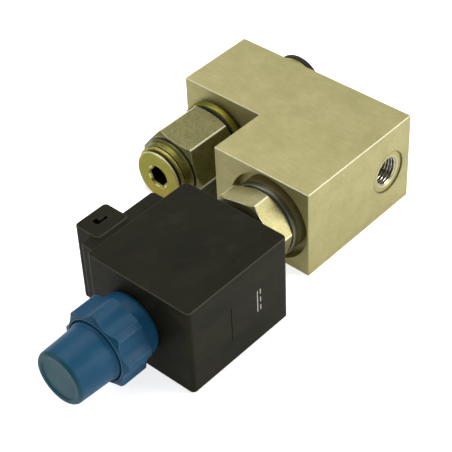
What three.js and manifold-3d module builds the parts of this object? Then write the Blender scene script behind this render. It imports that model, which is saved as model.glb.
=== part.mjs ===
// Solenoid directional valve: a spool cartridge in an L-shaped port block, worked by a coil that
// swivels on the cartridge's tube, with a check valve in the block's notch and an adapter behind it.
// Millimetres, +Z up. The origin is on the block's base, under the cartridge's axis, midway between
// the block's front and back faces. The coil lies towards -Y and the open side port faces +X.
import * as THREE from 'three';
import { mergeVertices } from 'three/addons/utils/BufferGeometryUtils.js';
import Module from 'manifold-3d';

const wasm = await Module();
wasm.setup();

// ---- Driving dimensions -------------------------------------------------------------------------

// Port block: an L seen from above, with its notch at the front left.
const BLOCK_LENGTH = 86;
const BLOCK_WIDTH = 63;
const BLOCK_HEIGHT = 40;
const NOTCH_LENGTH = 39.6;
const NOTCH_DEPTH = 26.5;
const AXIS_TO_RIGHT_FACE = 19.7;
const BRANCH_FROM_LEFT = 17.3;
const REAR_PORT_FROM_LEFT = 19;

// Thread radii: G 1/4 for the side port, G 3/8 for the branch ports, M24 for the cartridge.
const SIDE_THREAD_R = 6.58;
const BRANCH_THREAD_R = 8.33;
const SHANK_R = 12;
const SIDE_PORT_FROM_FRONT = 49.5;
const SPOTFACE_R = 9;
const SPOTFACE_DEPTH = 0.6;
const THREAD_DEPTH = 12;
const MOUNT_HOLE_R = 2.5;
const MOUNT_HOLE_DEPTH = 11;

// Cartridge stations are distances out from the block's front face; negative ones are inside it.
const COUNTERBORE_R = 18.7;
const COUNTERBORE_DEPTH = 4;
const FLANGE_R = 15.8;
const CARTRIDGE_HEX_AF = 30;
const HEX_REAR = 4.4;
const HEX_FRONT = 14.6;
const HEX_TURN = 12;
const COIL_REAR = 21.3;
const COIL_FRONT = 73.1;
const TUBE_R = 9.5;
const SPOOL_R = 4.9;
const PIN_R = 1.5;
const STROKE = 2.2;
const SPOOL_TOP = 2;
const SPOOL_TIP = -42;
const SHANK_END = -17.7;
const SLEEVE_END = -43.7;
const NOSE_END = -52;
const CROSS_PORT = -40.5;

// Coil: a moulded box round the tube, with a connector shroud on its left that opens downwards.
const COIL_HEIGHT = 38.8;
const COIL_RIGHT = 27.4;
const COIL_LEFT = -28;
const COIL_CORNER_R = 1.8;
const LEDGE_WIDTH = 6.4;
const LEDGE_DROP = 0.8;
const LEDGE_FRONT_SETBACK = 3;
const LEDGE_REAR_SETBACK = 11.2;
const SHROUD_DEPTH = 8.3;
const SHROUD_WIDTH = 16;
const SHROUD_FROM_FRONT = 8.2;
const SHROUD_BOTTOM = -15.5;
const SOCKET_DEPTH = 20;
const CAN_R = 17.3;

// Retaining nut and override cap, in stations from the block's front face.
const NUT_REAR = 73.5;
const NUT_LOBES = 79.5;
const NUT_FRONT = 92.2;
const NUT_COLLAR_R = 13;
const NUT_LOBE_R = 15.7;
const NUT_VALLEY_R = 13.7;
const LOBES = 8;
const CAP_END = 110;
const CAP_BASE_R = 11.5;
const CAP_RIM_R = 12;
const CAP_END_R = 10.9;
const STUD_R = 7.6;

// Check valve in the notch, in stations out from the notch's back wall.
const FITTING_HEX_AF = 28;
const FITTING_HEX_TURN = 51;
const PLUG_HEAD_R = 11;
const PLUG_KEY_AF = 8;
const STUD_COLLAR_R = 15.6;

// Facets of the large and small round surfaces.
const ROUND = 28;
const SMALL = 16;

// Clearance between a screwed or sliding piece and its hole, and between faces that rest together.
const FIT = 0.2;
const REST = 0.1;

// ---- Derived places -----------------------------------------------------------------------------

const AXIS_Z = BLOCK_HEIGHT / 2;
const RIGHT = AXIS_TO_RIGHT_FACE;
const LEFT = RIGHT - BLOCK_LENGTH;
const BACK = BLOCK_WIDTH / 2;
const FRONT = -BACK;
const NOTCH_WALL = FRONT + NOTCH_DEPTH;
const NOTCH_SIDE = LEFT + NOTCH_LENGTH;
const BRANCH_X = LEFT + BRANCH_FROM_LEFT;
const REAR_PORT_X = LEFT + REAR_PORT_FROM_LEFT;
const SIDE_PORT_Y = FRONT + SIDE_PORT_FROM_FRONT;

// ---- Materials ----------------------------------------------------------------------------------

const finish = (color, roughness, metalness) =>
  new THREE.MeshStandardMaterial({ color, roughness, metalness });

const nickel = () => finish(0xb1ab7c, 0.38, 0.9);
const steel = () => finish(0x9a9a94, 0.35, 0.9);
const zinc = () => finish(0xb7a648, 0.35, 0.9);
const blackPlastic = () => finish(0x2b2a22, 0.6, 0.0);
const bluePlastic = () => finish(0x3a6585, 0.55, 0.0);
const rubber = () => finish(0x151515, 0.8, 0.0);
const iron = () => finish(0x6f6f6c, 0.5, 0.8);
const copper = () => finish(0xb06a3c, 0.45, 0.8);
const brass = () => finish(0xc2a55a, 0.35, 0.9);
const nylon = () => finish(0xd8d4c4, 0.6, 0.0);

// ---- Solids -------------------------------------------------------------------------------------

const MERGE_DISTANCE = 1e-4;

// A closed geometry as a solid that can be joined and cut.
function solid(geometry) {
  const bare = geometry.clone();
  bare.deleteAttribute('normal');
  bare.deleteAttribute('uv');
  const merged = mergeVertices(bare, MERGE_DISTANCE);
  const corners = merged.index.array;
  const triangles = [];
  for (let i = 0; i < corners.length; i += 3) {
    const [a, b, c] = [corners[i], corners[i + 1], corners[i + 2]];
    if (a !== b && b !== c && c !== a) triangles.push(a, b, c);
  }
  return new wasm.Manifold(new wasm.Mesh({
    numProp: 3,
    vertProperties: new Float32Array(merged.attributes.position.array),
    triVerts: new Uint32Array(triangles),
  }));
}

// A solid back as a geometry.
function geometryOf(body) {
  const { vertProperties, triVerts } = body.getMesh();
  const geometry = new THREE.BufferGeometry();
  geometry.setAttribute('position', new THREE.BufferAttribute(vertProperties, 3));
  geometry.setIndex(new THREE.BufferAttribute(triVerts, 1));
  geometry.computeVertexNormals();
  return geometry;
}

const join = (first, ...others) => others.reduce((sum, other) => sum.add(other), first);
const cut = (first, ...others) => others.reduce((rest, other) => rest.subtract(other), first);

function piece(name, body, material) {
  const mesh = new THREE.Mesh(geometryOf(body), material);
  mesh.name = name;
  return mesh;
}

// A turned solid about Y from [radius, y] corners; a profile off the axis is closed into a ring.
function turned(profile, facets = ROUND) {
  const corners = profile.map(([r, y]) => new THREE.Vector2(r, y));
  if (THREE.ShapeUtils.area(corners) < 0) corners.reverse();
  const onAxis = corners[0].x === 0 && corners[corners.length - 1].x === 0;
  if (!onAxis) corners.push(corners[0].clone());
  return solid(new THREE.LatheGeometry(corners, facets));
}

// Turned solids whose corners are [radius, station], stations counted out from a face, towards -Y.
const alongValve = (profile, facets) => turned(profile.map(([r, s]) => [r, FRONT - s]), facets);
const alongBranch = (profile, facets) => turned(profile.map(([r, s]) => [r, NOTCH_WALL - s]), facets);
const behindBlock = (profile, facets) => turned(profile.map(([r, s]) => [r, BACK + s]), facets);

const rod = (r, from, to) => [[0, from], [r, from], [r, to], [0, to]];
const ring = (inner, outer, from, to) => [[inner, from], [outer, from], [outer, to], [inner, to]];

// A straight-sided outline in X and Z made solid from y = from to y = to.
function prismAlongY(shape, from, to) {
  const geometry = new THREE.ExtrudeGeometry(shape, { depth: to - from, bevelEnabled: false });
  geometry.rotateX(Math.PI / 2);
  geometry.translate(0, to, 0);
  return solid(geometry);
}

function box(x, y, z) {
  const geometry = new THREE.BoxGeometry(x[1] - x[0], y[1] - y[0], z[1] - z[0]);
  geometry.translate((x[0] + x[1]) / 2, (y[0] + y[1]) / 2, (z[0] + z[1]) / 2);
  return solid(geometry);
}

// A regular outline with the given number of corners on a circle.
function polygon(corners, radius, turn = 0) {
  const points = [];
  for (let i = 0; i < corners; i += 1) {
    const angle = turn + (i * 2 * Math.PI) / corners;
    points.push(new THREE.Vector2(radius * Math.cos(angle), radius * Math.sin(angle)));
  }
  return new THREE.Shape(points);
}

const degrees = THREE.MathUtils.degToRad;
const cornerRadius = (acrossFlats) => acrossFlats / Math.sqrt(3);

// A hexagonal bar along Y whose corners are turned off at both ends.
function hexagon(acrossFlats, turn, rear, front) {
  const corner = cornerRadius(acrossFlats);
  const flat = acrossFlats / 2;
  const slope = (corner - flat) * 0.7;
  const bar = prismAlongY(polygon(6, corner, degrees(turn)), front, rear);
  const envelope = turned([
    [0, front], [flat - REST, front], [corner + REST, front + slope],
    [corner + REST, rear - slope], [flat - REST, rear], [0, rear],
  ]);
  return bar.intersect(envelope);
}

// A round rod along X, from x[0] to x[1], at a given y and z.
function drilledAlongX(radius, x, y, z) {
  const geometry = new THREE.CylinderGeometry(radius, radius, x[1] - x[0], SMALL);
  geometry.rotateZ(Math.PI / 2);
  geometry.translate((x[0] + x[1]) / 2, y, z);
  return solid(geometry);
}

// A torus about Y, for an O-ring.
function oRing(radius, section, y) {
  const geometry = new THREE.TorusGeometry(radius, section, 6, ROUND);
  geometry.rotateX(Math.PI / 2);
  geometry.translate(0, y, 0);
  return solid(geometry);
}

// A helical compression spring about Y, between two stations.
class Helix extends THREE.Curve {
  constructor(radius, low, high, turns) {
    super();
    Object.assign(this, { radius, low, high, turns });
  }

  getPoint(t, target = new THREE.Vector3()) {
    const angle = t * this.turns * 2 * Math.PI;
    const y = this.low + (this.high - this.low) * t;
    return target.set(this.radius * Math.cos(angle), y, this.radius * Math.sin(angle));
  }
}

function spring(radius, wire, low, high, turns) {
  const stepsPerTurn = 10;
  const path = new Helix(radius, low + wire, high - wire, turns);
  return solid(new THREE.ExtrudeGeometry(polygon(5, wire), {
    steps: stepsPerTurn * turns,
    extrudePath: path,
    bevelEnabled: false,
  }));
}

// ---- Port block ---------------------------------------------------------------------------------

// The stepped bore that the cartridge screws into, about the valve's axis.
const cartridgeBore = () => alongValve([
  [0, REST], [COUNTERBORE_R, REST], [COUNTERBORE_R, -COUNTERBORE_DEPTH], [15.4, -COUNTERBORE_DEPTH],
  [SHANK_R + 0.3, -COUNTERBORE_DEPTH - 3.1], [SHANK_R + 0.3, SHANK_END - 0.3],
  [10, SHANK_END - 0.3], [10, SLEEVE_END - 0.3], [8.6, SLEEVE_END - 0.3], [8.6, NOSE_END - 2],
  [0, NOSE_END - 2],
]);

// A branch port's thread, from its face inwards, with its mouth chamfered.
function branchPort(face, inwards) {
  const thread = BRANCH_THREAD_R + FIT;
  return turned([
    [0, face - inwards * REST], [thread + 0.8, face - inwards * REST],
    [thread, face + inwards * 0.7], [thread, face + inwards * THREAD_DEPTH],
    [0, face + inwards * THREAD_DEPTH],
  ]);
}

function sidePort() {
  const seat = RIGHT - SPOTFACE_DEPTH;
  const about = turned([
    [0, RIGHT + REST], [SPOTFACE_R, RIGHT + REST], [SPOTFACE_R, seat],
    [SIDE_THREAD_R + 0.9, seat], [SIDE_THREAD_R, seat - 0.9],
    [SIDE_THREAD_R, seat - THREAD_DEPTH], [3.5, seat - THREAD_DEPTH - 1.8], [3.5, 2], [0, 2],
  ]);
  return about.rotate([0, 0, -90]).translate([0, SIDE_PORT_Y, AXIS_Z]);
}

function valveBlock() {
  const outline = new THREE.Shape([
    new THREE.Vector2(NOTCH_SIDE, FRONT), new THREE.Vector2(RIGHT, FRONT),
    new THREE.Vector2(RIGHT, BACK), new THREE.Vector2(LEFT, BACK),
    new THREE.Vector2(LEFT, NOTCH_WALL), new THREE.Vector2(NOTCH_SIDE, NOTCH_WALL),
  ]);
  const plate = solid(new THREE.ExtrudeGeometry(outline, { depth: BLOCK_HEIGHT, bevelEnabled: false }));
  const throughBranch = turned(rod(4, NOTCH_WALL + THREAD_DEPTH - 1, BACK - THREAD_DEPTH + 1), SMALL);
  const toBranch = [BRANCH_X, 0, AXIS_Z];
  const bridge = drilledAlongX(3.2, [BRANCH_X, 0], FRONT - CROSS_PORT, AXIS_Z);
  const tapped = [NOTCH_SIDE + 8, LEFT + 10].map((x) => {
    const hole = new THREE.CylinderGeometry(MOUNT_HOLE_R, MOUNT_HOLE_R, MOUNT_HOLE_DEPTH + REST, SMALL);
    hole.rotateX(Math.PI / 2);
    hole.translate(x, BACK - 8, (MOUNT_HOLE_DEPTH - REST) / 2);
    return solid(hole);
  });
  return cut(
    plate,
    cartridgeBore().translate([0, 0, AXIS_Z]),
    branchPort(NOTCH_WALL, 1).translate(toBranch),
    branchPort(BACK, -1).translate([REAR_PORT_X, 0, AXIS_Z]),
    throughBranch.translate(toBranch),
    sidePort(),
    bridge,
    ...tapped,
  );
}

// ---- Cartridge: body, seals, tube, moving parts ----------------------------------------------------

const O_RING_MID = -30;
const O_RING_NOSE = -47.5;
const SPOOL_BORE_R = SPOOL_R + FIT;
const POLE_SPIGOT_R = 7;
const POLE_FOOT = 4;
const POLE_FACE = 38;
const ARMATURE_TOP = 66;
const ARMATURE_FACE = POLE_FACE + STROKE + 0.3;
const TUBE_BORE_R = 8.5;
const PLUG_FOOT = 68;
const TUBE_TOP = COIL_FRONT;
const STUD_TOP = 95;

function cartridgeBody() {
  const groove = (at, half, bottom, land) =>
    [[land, at - half], [bottom, at - half], [bottom, at + half], [land, at + half]];
  const core = alongValve([
    [SPOOL_BORE_R, NOSE_END], [8.3, NOSE_END],
    ...groove(O_RING_NOSE, 1.1, 6.8, 8.3),
    [8.3, SLEEVE_END], [9.7, SLEEVE_END],
    ...groove(O_RING_MID, 1.2, 8, 9.7),
    [9.7, SHANK_END], [SHANK_R, SHANK_END], [SHANK_R, -6.5], [SHANK_R - 0.3, -6.5],
    [SHANK_R - 0.3, REST - COUNTERBORE_DEPTH], [FLANGE_R, REST - COUNTERBORE_DEPTH],
    [FLANGE_R, HEX_REAR - 1], [FLANGE_R - 1, HEX_REAR], [FLANGE_R - 1, HEX_REAR + 1],
    [POLE_SPIGOT_R + FIT, HEX_REAR + 1], [POLE_SPIGOT_R + FIT, POLE_FOOT - FIT],
    [SPOOL_BORE_R, POLE_FOOT - FIT],
  ], SMALL);
  const head = cut(
    hexagon(CARTRIDGE_HEX_AF, HEX_TURN, FRONT - HEX_REAR, FRONT - HEX_FRONT),
    alongValve(rod(POLE_SPIGOT_R + FIT, HEX_REAR - 1, HEX_FRONT + 1)),
  );
  const portY = FRONT - CROSS_PORT;
  const across = drilledAlongX(1.8, [-FLANGE_R, FLANGE_R], portY, 0);
  return cut(join(core, head), across, across.rotate([0, 90, 0]));
}

function armatureTube() {
  return alongValve(ring(TUBE_BORE_R, TUBE_R, HEX_FRONT + REST, TUBE_TOP));
}

function polePiece() {
  return alongValve([
    [PIN_R + FIT, POLE_FOOT], [POLE_SPIGOT_R, POLE_FOOT], [POLE_SPIGOT_R, HEX_FRONT + REST],
    [TUBE_BORE_R - FIT, HEX_FRONT + REST], [TUBE_BORE_R - FIT, POLE_FACE],
    [PIN_R + FIT, POLE_FACE],
  ], SMALL);
}

// The tube's end plug: it closes the tube, carries the nut's thread and guides the override pin.
function tubeEndPlug() {
  return alongValve([
    [PIN_R + FIT, PLUG_FOOT], [TUBE_BORE_R - FIT, PLUG_FOOT], [TUBE_BORE_R - FIT, TUBE_TOP + REST],
    [STUD_R, TUBE_TOP + REST], [STUD_R, STUD_TOP - 0.8], [STUD_R - 0.8, STUD_TOP],
    [PIN_R + FIT, STUD_TOP],
  ]);
}

function armature() {
  const blank = alongValve(rod(TUBE_BORE_R - 0.35, ARMATURE_FACE, ARMATURE_TOP), SMALL);
  const slot = box([-9, -6.4], [FRONT - ARMATURE_TOP - 1, FRONT - ARMATURE_FACE + 1], [-0.9, 0.9]);
  return cut(blank, slot, slot.rotate([0, 180, 0]));
}

const pushPin = () => alongValve(rod(PIN_R, SPOOL_TOP + REST, ARMATURE_FACE - REST), SMALL);

function spool() {
  return alongValve([
    [0, SPOOL_TIP], [SPOOL_R - 1.6, SPOOL_TIP], [SPOOL_R - 1.6, SPOOL_TIP + 1.2],
    [SPOOL_R, SPOOL_TIP + 1.2], [SPOOL_R, -37], [3.2, -37], [3.2, -26],
    [SPOOL_R, -26], [SPOOL_R, SPOOL_TOP], [0, SPOOL_TOP],
  ], SMALL);
}

const RETURN_SPRING_SEAT = -50.4;
const returnSpring = () =>
  spring(3.9, 0.45, FRONT - SPOOL_TIP - 1, FRONT - RETURN_SPRING_SEAT - REST, 4);
const springSeat = () => alongValve(ring(2, SPOOL_R, NOSE_END + REST, RETURN_SPRING_SEAT), SMALL);

// The override pin: a push rod with a button head outside the end plug.
function overridePin() {
  const underHead = STUD_TOP + STROKE + 0.3;
  return alongValve([
    [0, ARMATURE_TOP + REST], [PIN_R, ARMATURE_TOP + REST], [PIN_R, underHead], [2.8, underHead],
    [2.8, underHead + 1.4], [2.2, underHead + 2], [0, underHead + 2],
  ], SMALL);
}

// ---- Coil ---------------------------------------------------------------------------------------

const COIL_WALL = 3.2;
const CAN_REAR = COIL_REAR + COIL_WALL;
const CAN_FRONT = COIL_FRONT - COIL_WALL;
const WASHER = 3;
const BOBBIN_REAR = CAN_REAR + WASHER + 2 * REST;
const BOBBIN_FRONT = CAN_FRONT - WASHER - 2 * REST;
const BOBBIN_FLANGE = 1.2;
const COIL_BORE_R = TUBE_R + 0.3;
const BOBBIN_CORE_R = 11;
const YOKE_BORE_R = 15.6;
const SHROUD_LEFT = COIL_LEFT - SHROUD_DEPTH;
const SHROUD_FRONT = FRONT - COIL_FRONT + SHROUD_FROM_FRONT;
const SHROUD_Y = [SHROUD_FRONT, SHROUD_FRONT + SHROUD_WIDTH];

// An outline seen from above with its four corners rounded.
function roundedOutline(left, right, y, radius) {
  const shape = new THREE.Shape();
  const centres = [[right, y[1], -1, -1], [left, y[1], 1, -1], [left, y[0], 1, 1], [right, y[0], -1, 1]];
  centres.forEach(([x, edge, inX, inY], quarter) => {
    const start = (quarter * Math.PI) / 2;
    shape.absarc(x + inX * radius, edge + inY * radius, radius, start, start + Math.PI / 2);
  });
  shape.closePath();
  return shape;
}

function columnAlongZ(shape, from, to) {
  const settings = { depth: to - from, bevelEnabled: false, curveSegments: 4 };
  const geometry = new THREE.ExtrudeGeometry(shape, settings);
  geometry.translate(0, 0, from);
  return solid(geometry);
}

// The two blades stand across the socket, side by side along Y.
const BLADE_WIDTH = 2.8;
const BLADE_THICKNESS = 0.8;
const BLADE_PITCH = 5;
const SHROUD_WALL = 1.3;
const SHROUD_CORNER_R = 1.8;
const SOCKET_ROOF = SHROUD_BOTTOM + SOCKET_DEPTH;
const LATCH_WIDTH = 5.6;
const LATCH_DEPTH = 2.5;
const BLADE_TIP = SHROUD_BOTTOM + 6;
const BLADE_ROOT = SOCKET_ROOF + 4;
const bladeX = (SHROUD_LEFT + COIL_LEFT) / 2;
const shroudMidY = (SHROUD_Y[0] + SHROUD_Y[1]) / 2;

function bladeBox(side, grow, from, to) {
  const y = shroudMidY + (side * BLADE_PITCH) / 2;
  return box(
    [bladeX - BLADE_THICKNESS / 2 - grow, bladeX + BLADE_THICKNESS / 2 + grow],
    [y - BLADE_WIDTH / 2 - grow, y + BLADE_WIDTH / 2 + grow],
    [from, to],
  );
}

function coilHousing() {
  const half = COIL_HEIGHT / 2;
  const top = half - LEDGE_DROP;
  const split = COIL_LEFT + LEDGE_WIDTH;
  const rear = FRONT - COIL_REAR;
  const front = FRONT - COIL_FRONT;
  const main = columnAlongZ(
    roundedOutline(split, COIL_RIGHT, [front, rear], COIL_CORNER_R), -half, half);
  const ledge = columnAlongZ(
    roundedOutline(
      COIL_LEFT, split + 2 * COIL_CORNER_R,
      [front + LEDGE_FRONT_SETBACK, rear - LEDGE_REAR_SETBACK], COIL_CORNER_R),
    -top,
    top,
  );
  const shroud = columnAlongZ(
    roundedOutline(SHROUD_LEFT, COIL_LEFT + 4, SHROUD_Y, SHROUD_CORNER_R), SHROUD_BOTTOM, half);
  const socket = columnAlongZ(
    roundedOutline(
      SHROUD_LEFT + SHROUD_WALL, COIL_LEFT - 0.6,
      [SHROUD_Y[0] + SHROUD_WALL, SHROUD_Y[1] - SHROUD_WALL], SHROUD_CORNER_R - SHROUD_WALL),
    SHROUD_BOTTOM - 1,
    SOCKET_ROOF,
  );
  const latchFront = shroudMidY - LATCH_WIDTH / 2;
  const latchRear = shroudMidY + LATCH_WIDTH / 2;
  const latchHeight = [half - LATCH_DEPTH, half + 1];
  const latchSlot = box([COIL_LEFT - 2.8, COIL_LEFT - 1.4], [latchFront, latchRear], latchHeight);
  const latchCatch = box([COIL_LEFT - 4.8, COIL_LEFT - 2], [latchFront, latchFront + 2.4], latchHeight);
  return cut(
    join(main, ledge, shroud),
    alongValve(rod(COIL_BORE_R, COIL_REAR - 1, COIL_FRONT + 1)),
    alongValve(rod(CAN_R + FIT, CAN_REAR, CAN_FRONT)),
    socket,
    latchSlot,
    latchCatch,
    ...[-1, 1].map((side) => bladeBox(side, REST, SOCKET_ROOF - 1, BLADE_ROOT + REST)),
  );
}

const fluxWasher = (from) => alongValve(ring(COIL_BORE_R, CAN_R, from, from + WASHER), SMALL);
const yokeTube = () =>
  alongValve(ring(YOKE_BORE_R, CAN_R, BOBBIN_REAR, BOBBIN_FRONT), SMALL);

function coilBobbin() {
  const outer = YOKE_BORE_R - FIT;
  return alongValve([
    [COIL_BORE_R, BOBBIN_REAR], [outer, BOBBIN_REAR], [outer, BOBBIN_REAR + BOBBIN_FLANGE],
    [BOBBIN_CORE_R, BOBBIN_REAR + BOBBIN_FLANGE], [BOBBIN_CORE_R, BOBBIN_FRONT - BOBBIN_FLANGE],
    [outer, BOBBIN_FRONT - BOBBIN_FLANGE], [outer, BOBBIN_FRONT], [COIL_BORE_R, BOBBIN_FRONT],
  ], SMALL);
}

const coilWinding = () => alongValve(ring(
  BOBBIN_CORE_R + FIT, YOKE_BORE_R - 2 * FIT,
  BOBBIN_REAR + BOBBIN_FLANGE + REST, BOBBIN_FRONT - BOBBIN_FLANGE - REST,
), SMALL);

// ---- Nut and cap on the tube's end -----------------------------------------------------------------

const CAP_SEAT = 90.2;
const CAP_SPIGOT_R = 9.6;
const CAP_SPIGOT_TOP = 96;

// The nut's grip: ridges on a pitch circle with a hollow scallop between each two.
function lobedOutline() {
  const shape = new THREE.Shape();
  const pitch = (2 * Math.PI) / LOBES;
  const ridge = pitch * 0.24;
  const stepsPerScallop = 4;
  const points = [];
  for (let i = 0; i < LOBES; i += 1) {
    const centre = i * pitch;
    points.push([NUT_LOBE_R, centre - ridge / 2], [NUT_LOBE_R, centre + ridge / 2]);
    for (let j = 1; j < stepsPerScallop; j += 1) {
      const t = j / stepsPerScallop;
      const depth = Math.sin(Math.PI * t) ** 0.7;
      points.push([
        NUT_LOBE_R - (NUT_LOBE_R - NUT_VALLEY_R) * depth,
        centre + ridge / 2 + (pitch - ridge) * t,
      ]);
    }
  }
  shape.setFromPoints(points.map(([r, a]) => new THREE.Vector2(r * Math.cos(a), r * Math.sin(a))));
  return shape;
}

function coilNut() {
  const bore = STUD_R + 0.25;
  const collar = alongValve([
    [bore, NUT_REAR], [10, NUT_REAR], [10, NUT_REAR + 1.7], [12.2, NUT_REAR + 1.7], [12.2, NUT_REAR],
    [12.4, NUT_REAR], [NUT_COLLAR_R, NUT_REAR + 1.2], [NUT_COLLAR_R, NUT_LOBES + 1],
    [bore, NUT_LOBES + 1],
  ]);
  const grip = prismAlongY(lobedOutline(), FRONT - NUT_FRONT, FRONT - NUT_LOBES);
  const spigot = alongValve(ring(bore, CAP_SPIGOT_R, CAP_SEAT - 1, CAP_SPIGOT_TOP));
  const recess = alongValve(
    ring(CAP_SPIGOT_R, NUT_VALLEY_R - 0.8, CAP_SEAT - REST, NUT_FRONT + 1));
  const throughBore = alongValve(rod(bore, NUT_REAR - 1, CAP_SPIGOT_TOP + 1));
  return cut(join(collar, grip, spigot), recess, throughBore);
}

function overrideCap() {
  const bore = CAP_SPIGOT_R + FIT;
  const roof = CAP_END - 2.4;
  return alongValve([
    [bore, CAP_SEAT], [CAP_RIM_R, CAP_SEAT], [CAP_RIM_R, NUT_FRONT + 0.8],
    [CAP_BASE_R, NUT_FRONT + 1.2], [CAP_END_R, CAP_END - 1.2], [CAP_END_R - 0.9, CAP_END],
    [8.6, CAP_END], [8.4, CAP_END - 0.6], [0, CAP_END - 0.6],
    [0, roof], [bore - 1, roof], [bore - 0.8, CAP_SPIGOT_TOP + 1], [bore, CAP_SPIGOT_TOP + 1],
  ]);
}

const nutSeal = () => alongValve(ring(10.2, 12, COIL_FRONT + REST, NUT_REAR + 1.6));

// The rubber bush that keeps water out between the coil's rear and the cartridge's hexagon.
function coilRearSeal() {
  return alongValve([
    [TUBE_R + FIT, HEX_FRONT + REST], [12.4, HEX_FRONT + REST], [12.4, HEX_FRONT + 3],
    [11.6, HEX_FRONT + 3.6], [11.6, HEX_FRONT + 4.4], [12.4, HEX_FRONT + 5],
    [12.4, COIL_REAR - REST], [TUBE_R + FIT, COIL_REAR - REST],
  ]);
}

// ---- Check valve in the notch ------------------------------------------------------------------------

const COLLAR_REAR = 1.2;
const COLLAR_FACE = 4.3;
const HOUSING_REAR = 5.2;
const HOUSING_HEX_END = 28.6;
const HOUSING_FRONT = 34.2;
const STUD_END = 15;
const CHAMBER_END = 24;
const PLUG_SEAT = 35;
const PLUG_FACE = 36.1;
const PLUG_END = 26;
const SCREW_R = BRANCH_THREAD_R - 0.2;
const CHAMBER_R = 7;
const POPPET_R = 6.6;
const POPPET_BACK = 20;
const BRANCH_BORE_R = 4;

// The adapter screwed into the notch's wall; its inner end is the check valve's seat.
function studAdapter() {
  return alongBranch([
    [BRANCH_BORE_R, -10], [SCREW_R - 0.8, -10], [SCREW_R, -9.2], [SCREW_R, REST],
    [9.4, REST], [9.4, COLLAR_REAR], [STUD_COLLAR_R - 0.6, COLLAR_REAR],
    [STUD_COLLAR_R, COLLAR_REAR + 0.6], [STUD_COLLAR_R, COLLAR_FACE - 0.6],
    [STUD_COLLAR_R - 0.6, COLLAR_FACE], [SCREW_R, COLLAR_FACE], [SCREW_R, STUD_END],
    [BRANCH_BORE_R, STUD_END],
  ], SMALL);
}

function checkHousing() {
  const hex = hexagon(
    FITTING_HEX_AF, FITTING_HEX_TURN, NOTCH_WALL - HOUSING_REAR, NOTCH_WALL - HOUSING_HEX_END);
  const collar = alongBranch([
    [0, HOUSING_HEX_END - 1], [12, HOUSING_HEX_END - 1], [12, HOUSING_HEX_END + 0.9],
    [13.2, HOUSING_HEX_END + 0.9], [12.3, HOUSING_HEX_END + 2.4], [12, HOUSING_FRONT - 0.4],
    [11.6, HOUSING_FRONT], [0, HOUSING_FRONT],
  ]);
  const thread = BRANCH_THREAD_R + FIT;
  const bore = alongBranch([
    [0, HOUSING_REAR - 1], [thread, HOUSING_REAR - 1], [thread, STUD_END + 1], [CHAMBER_R, STUD_END + 1],
    [CHAMBER_R, CHAMBER_END], [thread, CHAMBER_END], [thread, HOUSING_FRONT + 1],
    [0, HOUSING_FRONT + 1],
  ]);
  return cut(join(hex, collar), bore);
}

function checkPoppet() {
  return alongBranch([
    [0, STUD_END - 1.4], [2.4, STUD_END - 1.4], [3.6, STUD_END + REST], [POPPET_R, STUD_END + 1.2],
    [POPPET_R, POPPET_BACK], [5, POPPET_BACK], [5, STUD_END + 2.4], [0, STUD_END + 2.4],
  ], SMALL);
}

const checkSpring = () =>
  spring(4.1, 0.45, NOTCH_WALL - PLUG_END + REST, NOTCH_WALL - STUD_END - 2.4 - REST, 5);

function branchPlug() {
  const blank = alongBranch([
    [0, PLUG_END], [SCREW_R - 0.8, PLUG_END], [SCREW_R, PLUG_END + 0.8], [SCREW_R, PLUG_SEAT],
    [PLUG_HEAD_R, PLUG_SEAT], [PLUG_HEAD_R, PLUG_FACE - 0.5], [PLUG_HEAD_R - 0.5, PLUG_FACE],
    [0, PLUG_FACE],
  ]);
  const keyDepth = 5;
  const key = prismAlongY(
    polygon(6, cornerRadius(PLUG_KEY_AF), degrees(FITTING_HEX_TURN)),
    NOTCH_WALL - PLUG_FACE - 1, NOTCH_WALL - PLUG_FACE + keyDepth);
  const mouth = alongBranch([
    [0, PLUG_FACE + REST], [cornerRadius(PLUG_KEY_AF) + 0.3, PLUG_FACE + REST],
    [PLUG_KEY_AF / 2, PLUG_FACE - 0.7], [0, PLUG_FACE - 0.7],
  ], SMALL);
  return cut(blank, key, mouth);
}

const branchRing = (inner, outer, from, to) => alongBranch(ring(inner, outer, from, to), SMALL);

// ---- Adapter behind the block ------------------------------------------------------------------------

const REAR_COLLAR_END = 11;
const REAR_CAP_END = 13.6;
const REAR_CAP_SPIGOT_R = 6.4;

function rearAdapter() {
  return behindBlock([
    [BRANCH_BORE_R, -10], [SCREW_R - 0.8, -10], [SCREW_R, -9.2], [SCREW_R, 1.4], [11.3, 1.4],
    [11.3, REAR_COLLAR_END - 0.4], [10.9, REAR_COLLAR_END], [REAR_CAP_SPIGOT_R + FIT, REAR_COLLAR_END],
    [REAR_CAP_SPIGOT_R + FIT, 2], [BRANCH_BORE_R, 2],
  ], SMALL);
}

function rearPortCap() {
  return behindBlock([
    [0, 5], [REAR_CAP_SPIGOT_R - 0.4, 5], [REAR_CAP_SPIGOT_R, 6], [REAR_CAP_SPIGOT_R, REAR_COLLAR_END + REST],
    [11.7, REAR_COLLAR_END + REST], [11.7, REAR_CAP_END - 0.6], [11.1, REAR_CAP_END],
    [0, REAR_CAP_END],
  ], SMALL);
}

const rearSeal = () => behindBlock(ring(SCREW_R + FIT, 10.4, REST, 1.3), SMALL);

// ---- Assembly ---------------------------------------------------------------------------------------

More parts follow.
